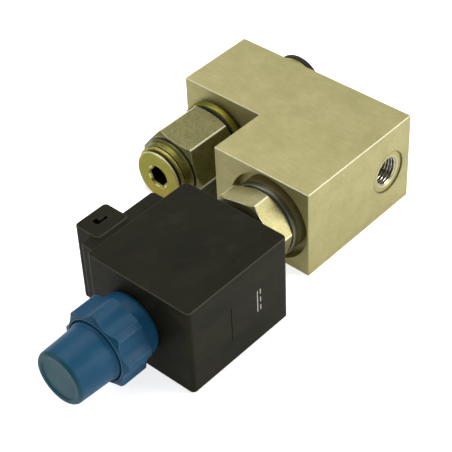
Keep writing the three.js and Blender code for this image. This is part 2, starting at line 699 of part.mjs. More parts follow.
// Everything about the valve's axis: pieces are drawn about Y and the group lifts them into place.
const valveLine = new THREE.Group();
valveLine.position.z = AXIS_Z;
valveLine.add(
  piece('cartridge_body', cartridgeBody(), zinc()),
  piece('cartridge_seal', oRing(13.1, 0.75, FRONT + COUNTERBORE_DEPTH + 0.85), rubber()),
  piece('sleeve_seal', oRing(8.95, 0.8, FRONT - O_RING_MID), rubber()),
  piece('nose_seal', oRing(7.65, 0.75, FRONT - O_RING_NOSE), rubber()),
  piece('armature_tube', armatureTube(), steel()),
  piece('pole_piece', polePiece(), iron()),
  piece('tube_end_plug', tubeEndPlug(), steel()),
  piece('armature', armature(), iron()),
  piece('push_pin', pushPin(), steel()),
  piece('spool', spool(), steel()),
  piece('return_spring', returnSpring(), steel()),
  piece('spring_seat', springSeat(), brass()),
  piece('override_pin', overridePin(), brass()),
  piece('coil_housing', coilHousing(), blackPlastic()),
  piece('flux_washer_rear', fluxWasher(CAN_REAR + REST), iron()),
  piece('flux_washer_front', fluxWasher(CAN_FRONT - WASHER - REST), iron()),
  piece('yoke_tube', yokeTube(), iron()),
  piece('coil_bobbin', coilBobbin(), nylon()),
  piece('coil_winding', coilWinding(), copper()),
  piece('terminal_blade_1', bladeBox(-1, 0, BLADE_TIP, BLADE_ROOT), brass()),
  piece('terminal_blade_2', bladeBox(1, 0, BLADE_TIP, BLADE_ROOT), brass()),
  piece('coil_rear_seal', coilRearSeal(), rubber()),
  piece('nut_seal', nutSeal(), rubber()),
  piece('coil_nut', coilNut(), bluePlastic()),
  piece('override_cap', overrideCap(), bluePlastic()),
);

// Everything about the branch's axis: the check valve in the notch.
const branchLine = new THREE.Group();
branchLine.position.set(BRANCH_X, 0, AXIS_Z);
branchLine.add(
  piece('stud_adapter', studAdapter(), zinc()),
  piece('stud_seal', branchRing(9.6, 13, REST, COLLAR_REAR - REST), rubber()),
  piece('housing_seal', branchRing(SCREW_R + FIT, 13.4, COLLAR_FACE + REST, HOUSING_REAR - REST), rubber()),
  piece('check_housing', checkHousing(), zinc()),
  piece('check_poppet', checkPoppet(), steel()),
  piece('check_spring', checkSpring(), steel()),
  piece('branch_plug', branchPlug(), zinc()),
  piece('plug_seal', branchRing(SCREW_R + FIT, 10.7, HOUSING_FRONT + REST, PLUG_SEAT - REST), copper()),
);

// The adapter behind the block, on its own axis.
const rearLine = new THREE.Group();
rearLine.position.set(REAR_PORT_X, 0, AXIS_Z);
rearLine.add(
  piece('rear_adapter', rearAdapter(), zinc()),
  piece('rear_seal', rearSeal(), rubber()),
  piece('rear_port_cap', rearPortCap(), blackPlastic()),
);

const valve = new THREE.Group();
valve.add(piece('valve_block', valveBlock(), nickel()), valveLine, branchLine, rearLine);

export default valve;
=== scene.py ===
import math

import bmesh
import bpy
from mathutils import Matrix, Vector


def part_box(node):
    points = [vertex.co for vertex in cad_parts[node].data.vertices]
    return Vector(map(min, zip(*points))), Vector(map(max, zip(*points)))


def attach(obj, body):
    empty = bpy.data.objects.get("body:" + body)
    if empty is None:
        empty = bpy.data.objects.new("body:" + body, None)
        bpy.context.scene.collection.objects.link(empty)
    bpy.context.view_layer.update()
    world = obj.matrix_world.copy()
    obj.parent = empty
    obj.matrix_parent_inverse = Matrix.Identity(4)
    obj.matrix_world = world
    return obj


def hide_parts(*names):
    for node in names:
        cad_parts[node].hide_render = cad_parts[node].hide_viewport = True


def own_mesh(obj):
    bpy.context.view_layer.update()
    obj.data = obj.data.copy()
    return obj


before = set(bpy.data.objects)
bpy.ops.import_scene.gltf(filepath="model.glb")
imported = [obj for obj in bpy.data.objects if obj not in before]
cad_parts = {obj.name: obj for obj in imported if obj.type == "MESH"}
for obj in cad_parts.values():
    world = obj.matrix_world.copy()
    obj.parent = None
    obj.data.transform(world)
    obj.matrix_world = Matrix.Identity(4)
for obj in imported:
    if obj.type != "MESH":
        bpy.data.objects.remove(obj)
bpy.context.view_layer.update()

MM = 0.001

# ---- Places taken from the frame ----


def span(node):
    """Lowest and highest corners of a CAD node, in millimetres."""
    low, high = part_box(node)
    return low / MM, high / MM


def axis_through(node):
    """The (x, z) of the line along Y through the middle of a CAD node."""
    low, high = span(node)
    return ((low.x + high.x) / 2, (low.z + high.z) / 2)


REST = 0.1          # gap between faces that rest together
BLOCK_LOW, BLOCK_HIGH = span("valve_block")
FRONT, BACK = BLOCK_LOW.y, BLOCK_HIGH.y
LEFT, RIGHT = BLOCK_LOW.x, BLOCK_HIGH.x
HEIGHT = BLOCK_HIGH.z
VALVE = axis_through("armature_tube")
BRANCH = axis_through("check_housing")
REAR = axis_through("rear_adapter")
NOTCH_WALL = span("stud_seal")[1].y + REST
NOTCH_LENGTH = 39.6
COIL_LOW, COIL_HIGH = span("coil_housing")
COIL_REAR, COIL_FRONT = COIL_HIGH.y, COIL_LOW.y


def station(out):
    """Y of a place this far out from the block's front face."""
    return FRONT - out


def branch_station(out):
    """Y of a place this far out from the notch's back wall."""
    return NOTCH_WALL - out


# ---- Outlines round a turned piece ----

ROUND = 144         # steps round a turned surface
EASE = 4            # steps round an eased corner
GRADES = 8          # steps along a stretch that an outline trims


def soft_min(a, b, blend=0.3):
    """The smaller of two lengths, with the change from one to the other rounded over blend."""
    near = max(blend - abs(a - b), 0.0) / blend
    return min(a, b) - near * near * blend / 4


def hexagon(across_flats, turn):
    """Radius by angle of a hexagon with one corner at turn degrees and its corners eased."""
    flat = across_flats / 2

    def radius(angle, _y):
        off = abs((angle - math.radians(turn)) % (math.pi / 3) - math.pi / 6)
        return soft_min(flat / math.cos(off), flat / math.cos(math.pi / 3 - off), 0.35)

    return radius


def hexagon_angles(turn):
    """Steps round a hexagonal piece, close together at the corners."""
    offsets = [30 * (i / 13) ** 1.7 for i in range(14)]
    angles = []
    for corner in range(6):
        middle = turn + 60 * corner
        angles += [middle - o for o in reversed(offsets[1:])]
        angles += [middle + o for o in offsets[:-1]]
    return [math.radians(a) for a in angles]


def even_angles(steps=ROUND):
    return [2 * math.pi * i / steps for i in range(steps)]


# ---- Meshes ----


def eased(rows, radius=0.25):
    """A turned profile with each corner replaced by a small curve; ends on the axis stay as they are."""
    closed = rows[0][0] > 0
    count = len(rows)
    result = []
    for i, row in enumerate(rows):
        if not closed and i in (0, count - 1):
            result.append(row)
            continue
        here = Vector(row[:2])
        before = Vector(rows[i - 1][:2]) - here
        after = Vector(rows[(i + 1) % count][:2]) - here
        reach = min(radius, before.length * 0.45, after.length * 0.45)
        start = here + before.normalized() * reach
        end = here + after.normalized() * reach
        for k in range(EASE + 1):
            t = k / EASE
            point = start * (1 - t) ** 2 + here * 2 * t * (1 - t) + end * t ** 2
            result.append((point.x, point.y, *row[2:]))
    return result


def graded(rows):
    """Rows added along each sloping stretch that an outline trims, so that the trimmed edge is smooth."""
    result = [rows[0]]
    for before, row in zip(rows, rows[1:]):
        sloping = len(row) > 2 and len(before) > 2 and abs(row[0] - before[0]) > 0.3
        if sloping:
            for k in range(1, GRADES):
                t = k / GRADES
                radius = before[0] + (row[0] - before[0]) * t
                result.append((radius, before[1] + (row[1] - before[1]) * t, row[2]))
        result.append(row)
    return result


def turned(rows, centre, angles=None):
    """A solid turned about a line along Y. Rows are (radius, y) or (radius, y, outline), in order round the
    profile; a profile that doesn't start on the axis closes on itself and leaves a bore."""
    angles = angles or even_angles()
    bm = bmesh.new()
    loops = []
    for row in rows:
        radius, y = row[:2]
        outline = row[2] if len(row) > 2 else None
        if radius == 0:
            loops.append([bm.verts.new((centre[0], y, centre[1]))])
            continue
        loop = []
        for angle in angles:
            reach = soft_min(radius, outline(angle, y)) if outline else radius
            place = (centre[0] + reach * math.cos(angle), y, centre[1] + reach * math.sin(angle))
            loop.append(bm.verts.new(place))
        loops.append(loop)
    pairs = list(zip(loops, loops[1:]))
    if len(loops[0]) > 1:
        pairs.append((loops[-1], loops[0]))
    for near, far in pairs:
        bridge(bm, near, far)
    bmesh.ops.recalc_face_normals(bm, faces=bm.faces)
    return bm


def skinned(bm, loops):
    """A mesh with faces between each two loops in a row and over both ends."""
    for near, far in zip(loops, loops[1:]):
        bridge(bm, near, far)
    bm.faces.new(loops[0])
    bm.faces.new(loops[-1])
    bmesh.ops.recalc_face_normals(bm, faces=bm.faces)
    return bm


def bridge(bm, near, far):
    """Faces between two loops of the same length, or between a loop and a single point."""
    steps = max(len(near), len(far))
    for i in range(steps):
        j = (i + 1) % steps
        corners = [near[i % len(near)], near[j % len(near)], far[j % len(far)], far[i % len(far)]]
        unique = list(dict.fromkeys(corners))
        if len(unique) > 2:
            bm.faces.new(unique)


def rounded_block(low, high, axis=2, corner=1.0, edge=0.5):
    """A box with its four edges along an axis rounded by corner and its ends' edges rounded by edge."""
    first, second = [i for i in range(3) if i != axis]
    steps = 5
    bend = [math.pi / 2 * k / steps for k in range(steps + 1)]
    rows = [(low[axis] + edge * (1 - math.cos(t)), edge * (1 - math.sin(t))) for t in bend]
    rows += [(high[axis] - edge * (1 - math.cos(t)), edge * (1 - math.sin(t))) for t in reversed(bend)]
    bm = bmesh.new()
    loops = []
    for level, inset in rows:
        loop = []
        for quarter, (side_a, side_b) in enumerate(((1, 1), (-1, 1), (-1, -1), (1, -1))):
            radius = max(corner - inset, 0.05)
            centre_a = (high[first] - inset - radius) if side_a > 0 else (low[first] + inset + radius)
            centre_b = (high[second] - inset - radius) if side_b > 0 else (low[second] + inset + radius)
            for k in range(2 * steps + 1):
                angle = math.pi / 2 * (quarter + k / (2 * steps))
                place = [0.0, 0.0, 0.0]
                place[axis] = level
                place[first] = centre_a + radius * math.cos(angle)
                place[second] = centre_b + radius * math.sin(angle)
                loop.append(bm.verts.new(place))
        loops.append(loop)
    return skinned(bm, loops)


def prism(outline, low, high):
    """An upright prism from a list of (x, y) corners."""
    bm = bmesh.new()
    base = [bm.verts.new((x, y, low)) for x, y in outline]
    top = [bm.verts.new((x, y, high)) for x, y in outline]
    bm.faces.new(base)
    bm.faces.new(top)
    bridge(bm, base, top)
    bmesh.ops.recalc_face_normals(bm, faces=bm.faces)
    return bm


def rod(radius, start, end, centre=(0, 0), steps=ROUND):
    """A plain round bar along Y."""
    return turned([(0, start), (radius, start), (radius, end), (0, end)], centre, even_angles(steps))


def along_x(bm, y, z):
    """A mesh made along Y, laid along X instead and moved by y and z."""
    bmesh.ops.transform(bm, matrix=Matrix.Rotation(-math.pi / 2, 4, "Z"), verts=bm.verts)
    bmesh.ops.translate(bm, vec=(0, y, z), verts=bm.verts)
    return bm


def along_z(bm, x, y, z):
    """A mesh made along Y, stood along Z instead and moved by x, y and z."""
    bmesh.ops.transform(bm, matrix=Matrix.Rotation(math.pi / 2, 4, "X"), verts=bm.verts)
    bmesh.ops.translate(bm, vec=(x, y, z), verts=bm.verts)
    return bm


def added(name, data):
    """A new object in the scene."""
    made = bpy.data.objects.new(name, data)
    bpy.context.scene.collection.objects.link(made)
    return made


def holder(name, bm):
    """A Blender object that holds a mesh in metres."""
    mesh = bpy.data.meshes.new(name)
    bm.to_mesh(mesh)
    bm.free()
    mesh.transform(Matrix.Scale(MM, 4))
    return added(name, mesh)


def combined(bm, others, operation):
    """A mesh with others joined to it or cut from it, as a new mesh in millimetres."""
    body = holder("work", bm)
    tools = [holder("tool", other) for other in others]
    for tool in tools:
        step = body.modifiers.new("step", "BOOLEAN")
        step.operation = operation
        step.object = tool
        step.solver = "EXACT"
    bpy.context.view_layer.update()
    evaluated = body.evaluated_get(bpy.context.evaluated_depsgraph_get())
    result = bmesh.new()
    result.from_mesh(evaluated.to_mesh())
    bmesh.ops.scale(result, vec=(1 / MM,) * 3, verts=result.verts)
    bmesh.ops.remove_doubles(result, verts=result.verts, dist=1e-4)
    bmesh.ops.dissolve_degenerate(result, dist=1e-4, edges=result.edges)
    for made in (body, *tools):
        bpy.data.objects.remove(made)
    return result


def carved(bm, *others):
    return combined(bm, others, "DIFFERENCE")


SHARP_ANGLE = math.radians(34)


def piece(node, bm, material, body="valve_body"):
    """A finished piece: smooth shaded, riding on its body and standing for its CAD node."""
    made = holder(node + "_fine", bm)
    made.data.shade_smooth()
    made.data.set_sharp_from_angle(angle=SHARP_ANGLE)
    weighted = made.modifiers.new("flat faces stay flat", "WEIGHTED_NORMAL")
    weighted.keep_sharp = True
    made.data.materials.append(material)
    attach(made, body)
    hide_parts(node)
    return made


def repaint(made, material, chosen):
    """A second material on the faces whose middle, in millimetres, is chosen."""
    made.data.materials.append(material)
    for face in made.data.polygons:
        if chosen(face.center / MM):
            face.material_index = len(made.data.materials) - 1


# ---- Materials ----


def linear(colour):
    """A linear colour from three values from 0 to 255, as the eye sees them."""
    shares = [value / 255 for value in colour]
    return (*(s / 12.92 if s <= 0.04045 else ((s + 0.055) / 1.055) ** 2.4 for s in shares), 1.0)


class Look:
    """A node material built up from small steps. A colour of three values is as linear() takes it."""

    def __init__(self, name):
        self.material = bpy.data.materials.new(name)
        self.material.use_nodes = True
        self.tree = self.material.node_tree
        self.shader = self.tree.nodes["Principled BSDF"]

    def node(self, kind, inputs=None, **settings):
        made = self.tree.nodes.new("ShaderNode" + kind)
        for key, value in settings.items():
            setattr(made, key, value)
        for key, value in (inputs or {}).items():
            self.feed(made.inputs[key], value)
        return made

    def feed(self, socket, value):
        if isinstance(value, bpy.types.NodeSocket):
            self.tree.links.new(value, socket)
        elif socket.type == "RGBA" and len(value) == 3:
            socket.default_value = linear(value)
        else:
            socket.default_value = value

    def set(self, **inputs):
        for key, value in inputs.items():
            self.feed(self.shader.inputs[key.replace("_", " ")], value)

    def place(self):
        """Position on the piece, in millimetres."""
        where = self.node("TexCoord").outputs["Object"]
        return self.node("VectorMath", {0: where, "Scale": 1 / MM}, operation="SCALE").outputs[0]

    def stretched(self, where, scale):
        return self.node("VectorMath", {0: where, 1: scale}, operation="MULTIPLY").outputs[0]

    def ringed(self, where, centre):
        """Distance from a line along Y in place of x and z, so that a noise becomes turning marks."""
        x, y, z = self.parts(where)
        away = self.reach(self.math("SUBTRACT", x, centre[0]), self.math("SUBTRACT", z, centre[1]))
        return self.node("CombineXYZ", {0: away, 1: y}).outputs[0]

    def reach(self, a, b):
        """Distance from two offsets at right angles."""
        squares = self.math("ADD", self.times(a, a), self.times(b, b))
        return self.math("SQRT", squares, 0.0)

    def circle(self, reach, radius, width):
        """1 on a circle of this radius and 0 a width away from it."""
        off = self.math("ABSOLUTE", self.math("SUBTRACT", reach, radius), 0.0)
        return self.range(off, width * 0.3, width, 1, 0)

    def math(self, operation, a, b):
        return self.node("Math", {0: a, 1: b}, operation=operation).outputs[0]

    def times(self, a, b):
        return self.math("MULTIPLY", a, b)

    def parts(self, vector):
        """The x, y and z of a vector."""
        return self.node("SeparateXYZ", {0: vector}).outputs

    def noise(self, where, scale, detail=2.0, roughness=0.5):
        inputs = {"Vector": where, "Scale": scale, "Detail": detail, "Roughness": roughness}
        return self.node("TexNoise", inputs).outputs["Fac"]

    def range(self, value, low, high, to_low=0.0, to_high=1.0):
        inputs = {0: value, 1: low, 2: high, 3: to_low, 4: to_high}
        return self.node("MapRange", inputs).outputs[0]

    def mix(self, share, a, b):
        made = self.node("Mix", data_type="RGBA")
        self.feed(made.inputs[0], share)
        self.feed(made.inputs[6], a)
        self.feed(made.inputs[7], b)
        return made.outputs[2]

    def edges(self, radius):
        """1 where two sharp faces meet, within a radius in millimetres, and 0 on open faces."""
        bevelled = self.node("Bevel", {"Radius": radius * MM}, samples=6).outputs[0]
        flat = self.node("NewGeometry").outputs["True Normal"]
        same = self.node("VectorMath", {0: bevelled, 1: flat}, operation="DOT_PRODUCT").outputs["Value"]
        return self.range(same, 0.99, 0.92)

    def box_edges(self, radius, rise):
        """1 on the edges of a piece whose faces lie square to its axes, chamfered or not, where they
        face up more than rise."""
        bevelled = self.node("Bevel", {"Radius": radius * MM}, samples=6).outputs[0]
        own = self.node("VectorTransform", {0: bevelled}, vector_type="NORMAL", convert_from="WORLD",
                        convert_to="OBJECT").outputs[0]
        size = self.node("VectorMath", {0: own}, operation="ABSOLUTE").outputs[0]
        x, y, z = self.parts(size)
        most = self.math("MAXIMUM", self.math("MAXIMUM", x, y), z)
        found = self.range(most, 0.985, 0.93)
        up = self.parts(own)[2]
        return self.times(found, self.range(up, rise, rise + 0.2))

    def bump(self, height, depth):
        return self.node("Bump", {"Height": height, "Distance": depth * MM, "Strength": 1.0}).outputs[0]


def plated_block():
    """Dull warm plating over a milled block: soft clouds, faint brushing, a painted highlight on the top
    edges, a painted shade line round the side port's spotface and a painted highlight round its mouth."""
    look = Look("plated_block")
    where = look.place()
    cloud = look.noise(where, 0.11, 5, 0.6)
    brushed = look.noise(look.stretched(where, (0.15, 1.1, 1.1)), 1.2, 4, 0.6)
    speck = look.noise(where, 1.9, 3, 0.65)
    colour = look.mix(look.range(cloud, 0.35, 0.65), (177, 170, 118), (189, 181, 128))
    colour = look.mix(look.range(brushed, 0.40, 0.75, 0, 0.2), colour, (150, 142, 92))
    colour = look.mix(look.range(speck, 0.58, 0.74, 0, 0.35), colour, (128, 120, 76))
    along, back, height = look.parts(where)
    port = look.reach(look.math("SUBTRACT", back, SIDE_PORT_Y), look.math("SUBTRACT", height, HEIGHT / 2))
    on_face = look.range(along, RIGHT - 1.2, RIGHT - 0.9)
    outline = look.times(on_face, look.circle(port, SPOTFACE_R, 0.5))
    mouth = look.times(on_face, look.circle(port, SIDE_THREAD_R, 0.3))
    # painted shade: a dark line round the spotface's rim
    colour = look.mix(look.times(outline, 0.55), colour, (96, 90, 44))
    # painted highlight: a bright ring round the port's mouth
    colour = look.mix(look.times(mouth, 0.5), colour, (255, 250, 222))
    # painted highlight: the top edges, where they face up, are lightened and made less metallic, broken by
    # the specks
    near_top = look.range(height, HEIGHT - 1.2, HEIGHT - 0.6)
    broken = look.range(speck, 0.30, 0.55, 1, 0.55)
    edge = look.times(look.times(look.box_edges(0.12, 0.1), near_top), broken)
    colour = look.mix(edge, colour, (255, 250, 222))
    grain = look.math("ADD", brushed, look.times(speck, 0.8))
    look.set(Base_Color=colour, Metallic=look.range(edge, 0, 1, 0.72, 0.1),
             Roughness=look.range(grain, 0.6, 1.2, 0.42, 0.58),
             Normal=look.bump(grain, 0.01))
    return look.material


def plated_turned(name, centre, base, second, third, marks=6.0, speckle=0.35, metal=0.85, corner=None):
    """Yellow-passivated plating on a turned piece: drifting hue, fine turning marks and pale edges that are
    a painted highlight.
    corner is the radius of a hexagon's corners, where a painted highlight brightens the plating."""
    look = Look(name)
    where = look.place()
    drift = look.noise(where, 0.16, 3)
    blush = look.noise(where, 0.31, 2)
    around = look.ringed(where, centre)
    rings = look.noise(around, marks, 3, 0.7)
    pits = look.noise(where, 1.7, 3, 0.75)
    colour = look.mix(look.range(drift, 0.38, 0.62), base, second)
    colour = look.mix(look.range(blush, 0.52, 0.70, 0, 0.7), colour, third)
    colour = look.mix(look.range(pits, 0.52, 0.62, 0, speckle), colour, (70, 66, 36))
    # painted highlight: pale edges and, with corner, pale hexagon corners
    edge = look.edges(0.25)
    if corner:
        reach = look.parts(around)[0]
        edge = look.math("MAXIMUM", edge, look.range(reach, corner - 0.25, corner - 0.15))
    colour = look.mix(look.times(edge, 0.85), colour, (250, 246, 206))
    grain = look.math("ADD", rings, look.times(pits, 0.5))
    look.set(Base_Color=colour, Metallic=look.range(edge, 0, 1, metal, 0.2),
             Roughness=look.range(grain, 0.5, 1.0, 0.30, 0.46),
             Normal=look.bump(grain, 0.012))
    return look.material


def moulded(name, base, worn, dust_and_highlight, roughness, shine, texture=0.015, sheen=(1, 1, 1, 1), boxy=False):
    """Moulded plastic: fine spark-eroded texture, faint flow marks, a little dust, and edges lightened
    towards the dust colour as a painted highlight.
    """
    look = Look(name)
    where = look.place()
    flow = look.noise(look.stretched(where, (0.5, 0.12, 0.5)), 0.25, 4)
    texture_grain = look.noise(where, 5.5, 3, 0.7)
    smudge = look.noise(where, 0.09, 4, 0.6)
    colour = look.mix(look.range(flow, 0.35, 0.65), base, worn)
    colour = look.mix(look.range(smudge, 0.55, 0.75, 0, 0.15), colour, dust_and_highlight)
    # painted highlight: edges, only the up-facing ones when boxy, are lightened towards the dust colour
    edge = look.box_edges(0.4, 0.1) if boxy else look.edges(0.3)
    colour = look.mix(look.times(edge, 0.8), colour, dust_and_highlight)
    rough = look.math("ADD", look.range(smudge, 0.3, 0.7, -0.06, 0.06), roughness)
    look.set(Base_Color=colour, Roughness=rough, Specular_IOR_Level=shine, Specular_Tint=sheen,
             Normal=look.bump(texture_grain, texture))
    return look.material


def soft_rubber():
    """Black rubber with a dull bloom."""
    look = Look("soft_rubber")
    where = look.place()
    bloom = look.noise(where, 0.4, 4)
    grain = look.noise(where, 4.0, 3)
    colour = look.mix(look.range(bloom, 0.4, 0.7), (24, 24, 22), (44, 44, 42))
    look.set(Base_Color=colour, Roughness=look.range(bloom, 0.3, 0.7, 0.62, 0.82),
             Normal=look.bump(grain, 0.02))
    return look.material


def plain_metal(name, centre, base, stain, roughness):
    """Bare turned metal with fine rings and faint stains."""
    look = Look(name)
    where = look.place()
    rings = look.noise(look.ringed(where, centre), 5.0, 4, 0.7)
    patch = look.noise(where, 0.35, 4)
    colour = look.mix(look.range(patch, 0.45, 0.75, 0, 0.6), base, stain)
    # painted highlight: edges lightened
    edge = look.edges(0.2)
    colour = look.mix(look.times(edge, 0.4), colour, (236, 234, 224))
    look.set(Base_Color=colour, Metallic=0.95, Normal=look.bump(rings, 0.01),
             Roughness=look.range(rings, 0.3, 0.7, roughness - 0.07, roughness + 0.09))
    return look.material


CARTRIDGE_AF, FITTING_AF = 30, 28
CARTRIDGE_CORNER_R = CARTRIDGE_AF / math.sqrt(3)
FITTING_CORNER_R = FITTING_AF / math.sqrt(3)
PLUG_HEAD_R = 11
SIDE_PORT_Y = FRONT + 49.5
SIDE_THREAD_R = 6.58
SPOTFACE_R = 9

BLOCK_METAL = plated_block()
# The corner given to the cartridge, hexagon and plug plating adds a painted highlight on the hexagons'
# corners and the plug head's rim.
CARTRIDGE_ZINC = plated_turned(
    "cartridge_zinc", VALVE, (144, 138, 92), (158, 148, 98), (138, 136, 96), metal=0.6,
    corner=CARTRIDGE_CORNER_R)
BRANCH_ZINC = plated_turned("branch_zinc", BRANCH, (137, 133, 46), (156, 146, 58), (128, 140, 70))
HEXAGON_ZINC = plated_turned(
    "hexagon_zinc", BRANCH, (121, 117, 68), (133, 128, 77), (116, 112, 70), speckle=0.8,
    metal=0.5, corner=FITTING_CORNER_R)
PLUG_ZINC = plated_turned(
    "plug_zinc", BRANCH, (158, 144, 44), (142, 142, 46), (176, 140, 54), marks=9.0,
    corner=PLUG_HEAD_R)
# painted shade: a darker copy of the plating for the flange inside the counterbore's shadow
FLANGE_PAINTED_SHADE = plated_turned("flange_painted_shade", VALVE, (104, 104, 92), (122, 116, 90), (94, 98, 92))
COLLAR_ZINC = plated_turned("collar_zinc", BRANCH, (108, 105, 44), (122, 116, 52), (104, 110, 58))
# painted highlight: a brighter copy of the collar plating for the housing's front lip
LIP_ZINC_PAINTED_HIGHLIGHT = plated_turned("lip_zinc_painted_highlight", BRANCH, (176, 166, 78), (160, 154, 72), (188, 172, 92))
REAR_ZINC = plated_turned("rear_zinc", REAR, (160, 152, 92), (174, 166, 104), (150, 150, 90))
BLACK_PLASTIC = moulded(
    "black_plastic", (24, 25, 16), (33, 31, 18), (80, 79, 66), 0.5, 0.1,
    sheen=(1, 0.96, 0.78, 1), boxy=True)
CAP_BLACK = moulded("cap_black", (24, 24, 18), (30, 30, 24), (70, 68, 58), 0.48, 0.3)
BLUE_PLASTIC = moulded("blue_plastic", (14, 72, 104), (20, 80, 112), (84, 122, 142), 0.42, 0.2, 0.01)
FADED_BLUE = moulded("faded_blue", (18, 70, 84), (26, 78, 88), (84, 118, 122), 0.42, 0.2, 0.01)
NYLON = moulded("nylon", (214, 210, 196), (206, 200, 184), (190, 180, 160), 0.5, 0.4)
WHITE_INK = moulded("white_ink", (190, 190, 178), (160, 160, 148), (120, 118, 104), 0.6, 0.1)
RUBBER = soft_rubber()
THREAD_STEEL = plain_metal("thread_steel", VALVE, (206, 202, 186), (176, 168, 140), 0.2)
SHADED_STEEL = plain_metal("shaded_steel", BRANCH, (74, 68, 44), (52, 46, 30), 0.4)
STEEL, BRANCH_STEEL = (
    plain_metal(name, centre, (176, 176, 172), (150, 148, 140), 0.28)
    for name, centre in (("bright_steel", VALVE), ("branch_steel", BRANCH)))
IRON = plain_metal("soft_iron", VALVE, (138, 136, 132), (112, 104, 96), 0.42)
BRASS = plain_metal("brass", VALVE, (206, 178, 104), (170, 138, 76), 0.3)
COPPER = plain_metal("copper", VALVE, (200, 128, 88), (150, 84, 56), 0.34)
# painted shade: copper darkened to stand for the shaded gap round the plug head
SEAL_COPPER_PAINTED_SHADE = plain_metal("seal_copper_painted_shade", BRANCH, (74, 54, 36), (52, 40, 28), 0.45)

# ---- Port block ----

CARTRIDGE_BORE = (
    (0, -REST), (18.9, -REST), (18.7, 0.3), (18.7, 4), (15.4, 4), (12.3, 7.1), (12.3, 18),
    (10, 18), (10, 44), (8.6, 44), (8.6, 54), (0, 54),
)
BRANCH_THREAD_R = 8.53
SIDE_THREAD_PITCH = 1.337
SIDE_THREAD_HEIGHT = 0.86
SPOTFACE_DEPTH = 0.6
THREAD_DEPTH = 12
THREAD_LEAD = 0.9           # depth of the chamfer at the thread's mouth
SIDE_BORE_R = 3.5
SIDE_BORE_END = 2           # x where the side port's bore meets the cartridge's
THROUGH_R = 4
CROSS_R = 3.2
CROSS_Y = FRONT + 40.5
SCREW_HOLE_R = 2.5
SCREW_HOLE_DEPTH = 11
SCREW_HOLE_INSET = 8
EDGE_CHAMFER = 0.28


def drilled(rows, into, face, centre):
    """A cutter from (radius, depth) rows, sunk from a face at y = face in the direction into."""
    return turned([(radius, face + into * depth) for radius, depth in rows], centre)


def branch_port(face, into, centre):
    thread = BRANCH_THREAD_R
    rows = [(0, -REST), (thread + 1, -REST), (thread + 0.8, 0.1), (thread, 0.9), (thread, THREAD_DEPTH),
            (0, THREAD_DEPTH)]
    return drilled(rows, into, face, centre)


def side_thread(angle, y):
    """Radius of the side port's thread: a helical groove cut outwards from its crests."""
    turn = (y / SIDE_THREAD_PITCH - angle / (2 * math.pi)) % 1.0
    groove = 1 - abs(2 * turn - 1)
    crest = SIDE_THREAD_R - SIDE_THREAD_HEIGHT
    return crest + SIDE_THREAD_HEIGHT * min(max(groove * 1.3 - 0.15, 0.0), 1.0)


def side_port():
    """The threaded port and its shallow spotface, cut in from the block's right face."""
    face = RIGHT
    seat = face - SPOTFACE_DEPTH
    end = seat - THREAD_DEPTH
    steps_per_turn = 14
    count = int(THREAD_DEPTH / SIDE_THREAD_PITCH * steps_per_turn)
    unlimited = 4 * SIDE_THREAD_R
    rows = [(0, face + REST), (SPOTFACE_R, face + REST), (SPOTFACE_R, seat), (SIDE_THREAD_R, seat)]
    rows += [(SIDE_THREAD_R - SIDE_THREAD_HEIGHT * k / 4, seat - 0.2 * k) for k in range(1, 5)]
    rows += [(unlimited, seat - THREAD_LEAD - (THREAD_DEPTH - THREAD_LEAD) * k / count, side_thread)
             for k in range(count + 1)]
    rows += [(5.4, end - 0.2), (SIDE_BORE_R, end - 1.8), (SIDE_BORE_R, SIDE_BORE_END), (0, SIDE_BORE_END)]
    return along_x(turned(rows, (0, 0), even_angles(96)), SIDE_PORT_Y, HEIGHT / 2)


def screw_hole(x):
    rows = [(0, -REST), (SCREW_HOLE_R + 0.4, -REST), (SCREW_HOLE_R, 0.4), (SCREW_HOLE_R, SCREW_HOLE_DEPTH),
            (0, SCREW_HOLE_DEPTH + 1.4)]
    return along_z(turned(rows, (0, 0), even_angles(48)), x, BACK - SCREW_HOLE_INSET, 0)


def port_block():
    notch_side = LEFT + NOTCH_LENGTH
    outline = [(notch_side, FRONT), (RIGHT, FRONT), (RIGHT, BACK), (LEFT, BACK),
               (LEFT, NOTCH_WALL), (notch_side, NOTCH_WALL)]
    bm = prism(outline, 0, HEIGHT)
    bmesh.ops.bevel(bm, geom=bm.edges[:], offset=EDGE_CHAMFER, segments=1, affect="EDGES")
    cuts = [
        drilled(CARTRIDGE_BORE, 1, FRONT, VALVE),
        branch_port(NOTCH_WALL, 1, BRANCH),
        branch_port(BACK, -1, REAR),
        rod(THROUGH_R, NOTCH_WALL + THREAD_DEPTH - 1, BACK - THREAD_DEPTH + 1, BRANCH),
        along_x(rod(CROSS_R, BRANCH[0], 0, steps=48), CROSS_Y, HEIGHT / 2),
        side_port(),
        screw_hole(notch_side + SCREW_HOLE_INSET),
        screw_hole(LEFT + SCREW_HOLE_INSET + 2),
    ]
    return carved(bm, *cuts)


def in_side_thread(place):
    """Whether a place is in the side port, deeper than the outer half of its mouth's chamfer."""
    reach = math.hypot(place.y - SIDE_PORT_Y, place.z - HEIGHT / 2)
    bright_from = RIGHT - SPOTFACE_DEPTH - 0.55
    return SIDE_BORE_END < place.x < bright_from and reach < SIDE_THREAD_R + 0.1


block = piece("valve_block", port_block(), BLOCK_METAL)
repaint(block, THREAD_STEEL, in_side_thread)

# ---- Cartridge and what shows of it ----

CARTRIDGE_TURN = 12
CARTRIDGE_HEX = hexagon(CARTRIDGE_AF, CARTRIDGE_TURN)
HEX_REAR, HEX_FRONT = 4.4, 14.6
FLANGE_R = 15.8
FLANGE_BAND = 1.3      # part of the flange next to the block that keeps the plain plating; the rest gets painted shade
CROSS_PORT_R = 1.8


def ring(inner, outer, rear, front):
    """Rows of a plain ring."""
    return [(inner, rear), (outer, rear), (outer, front), (inner, front)]


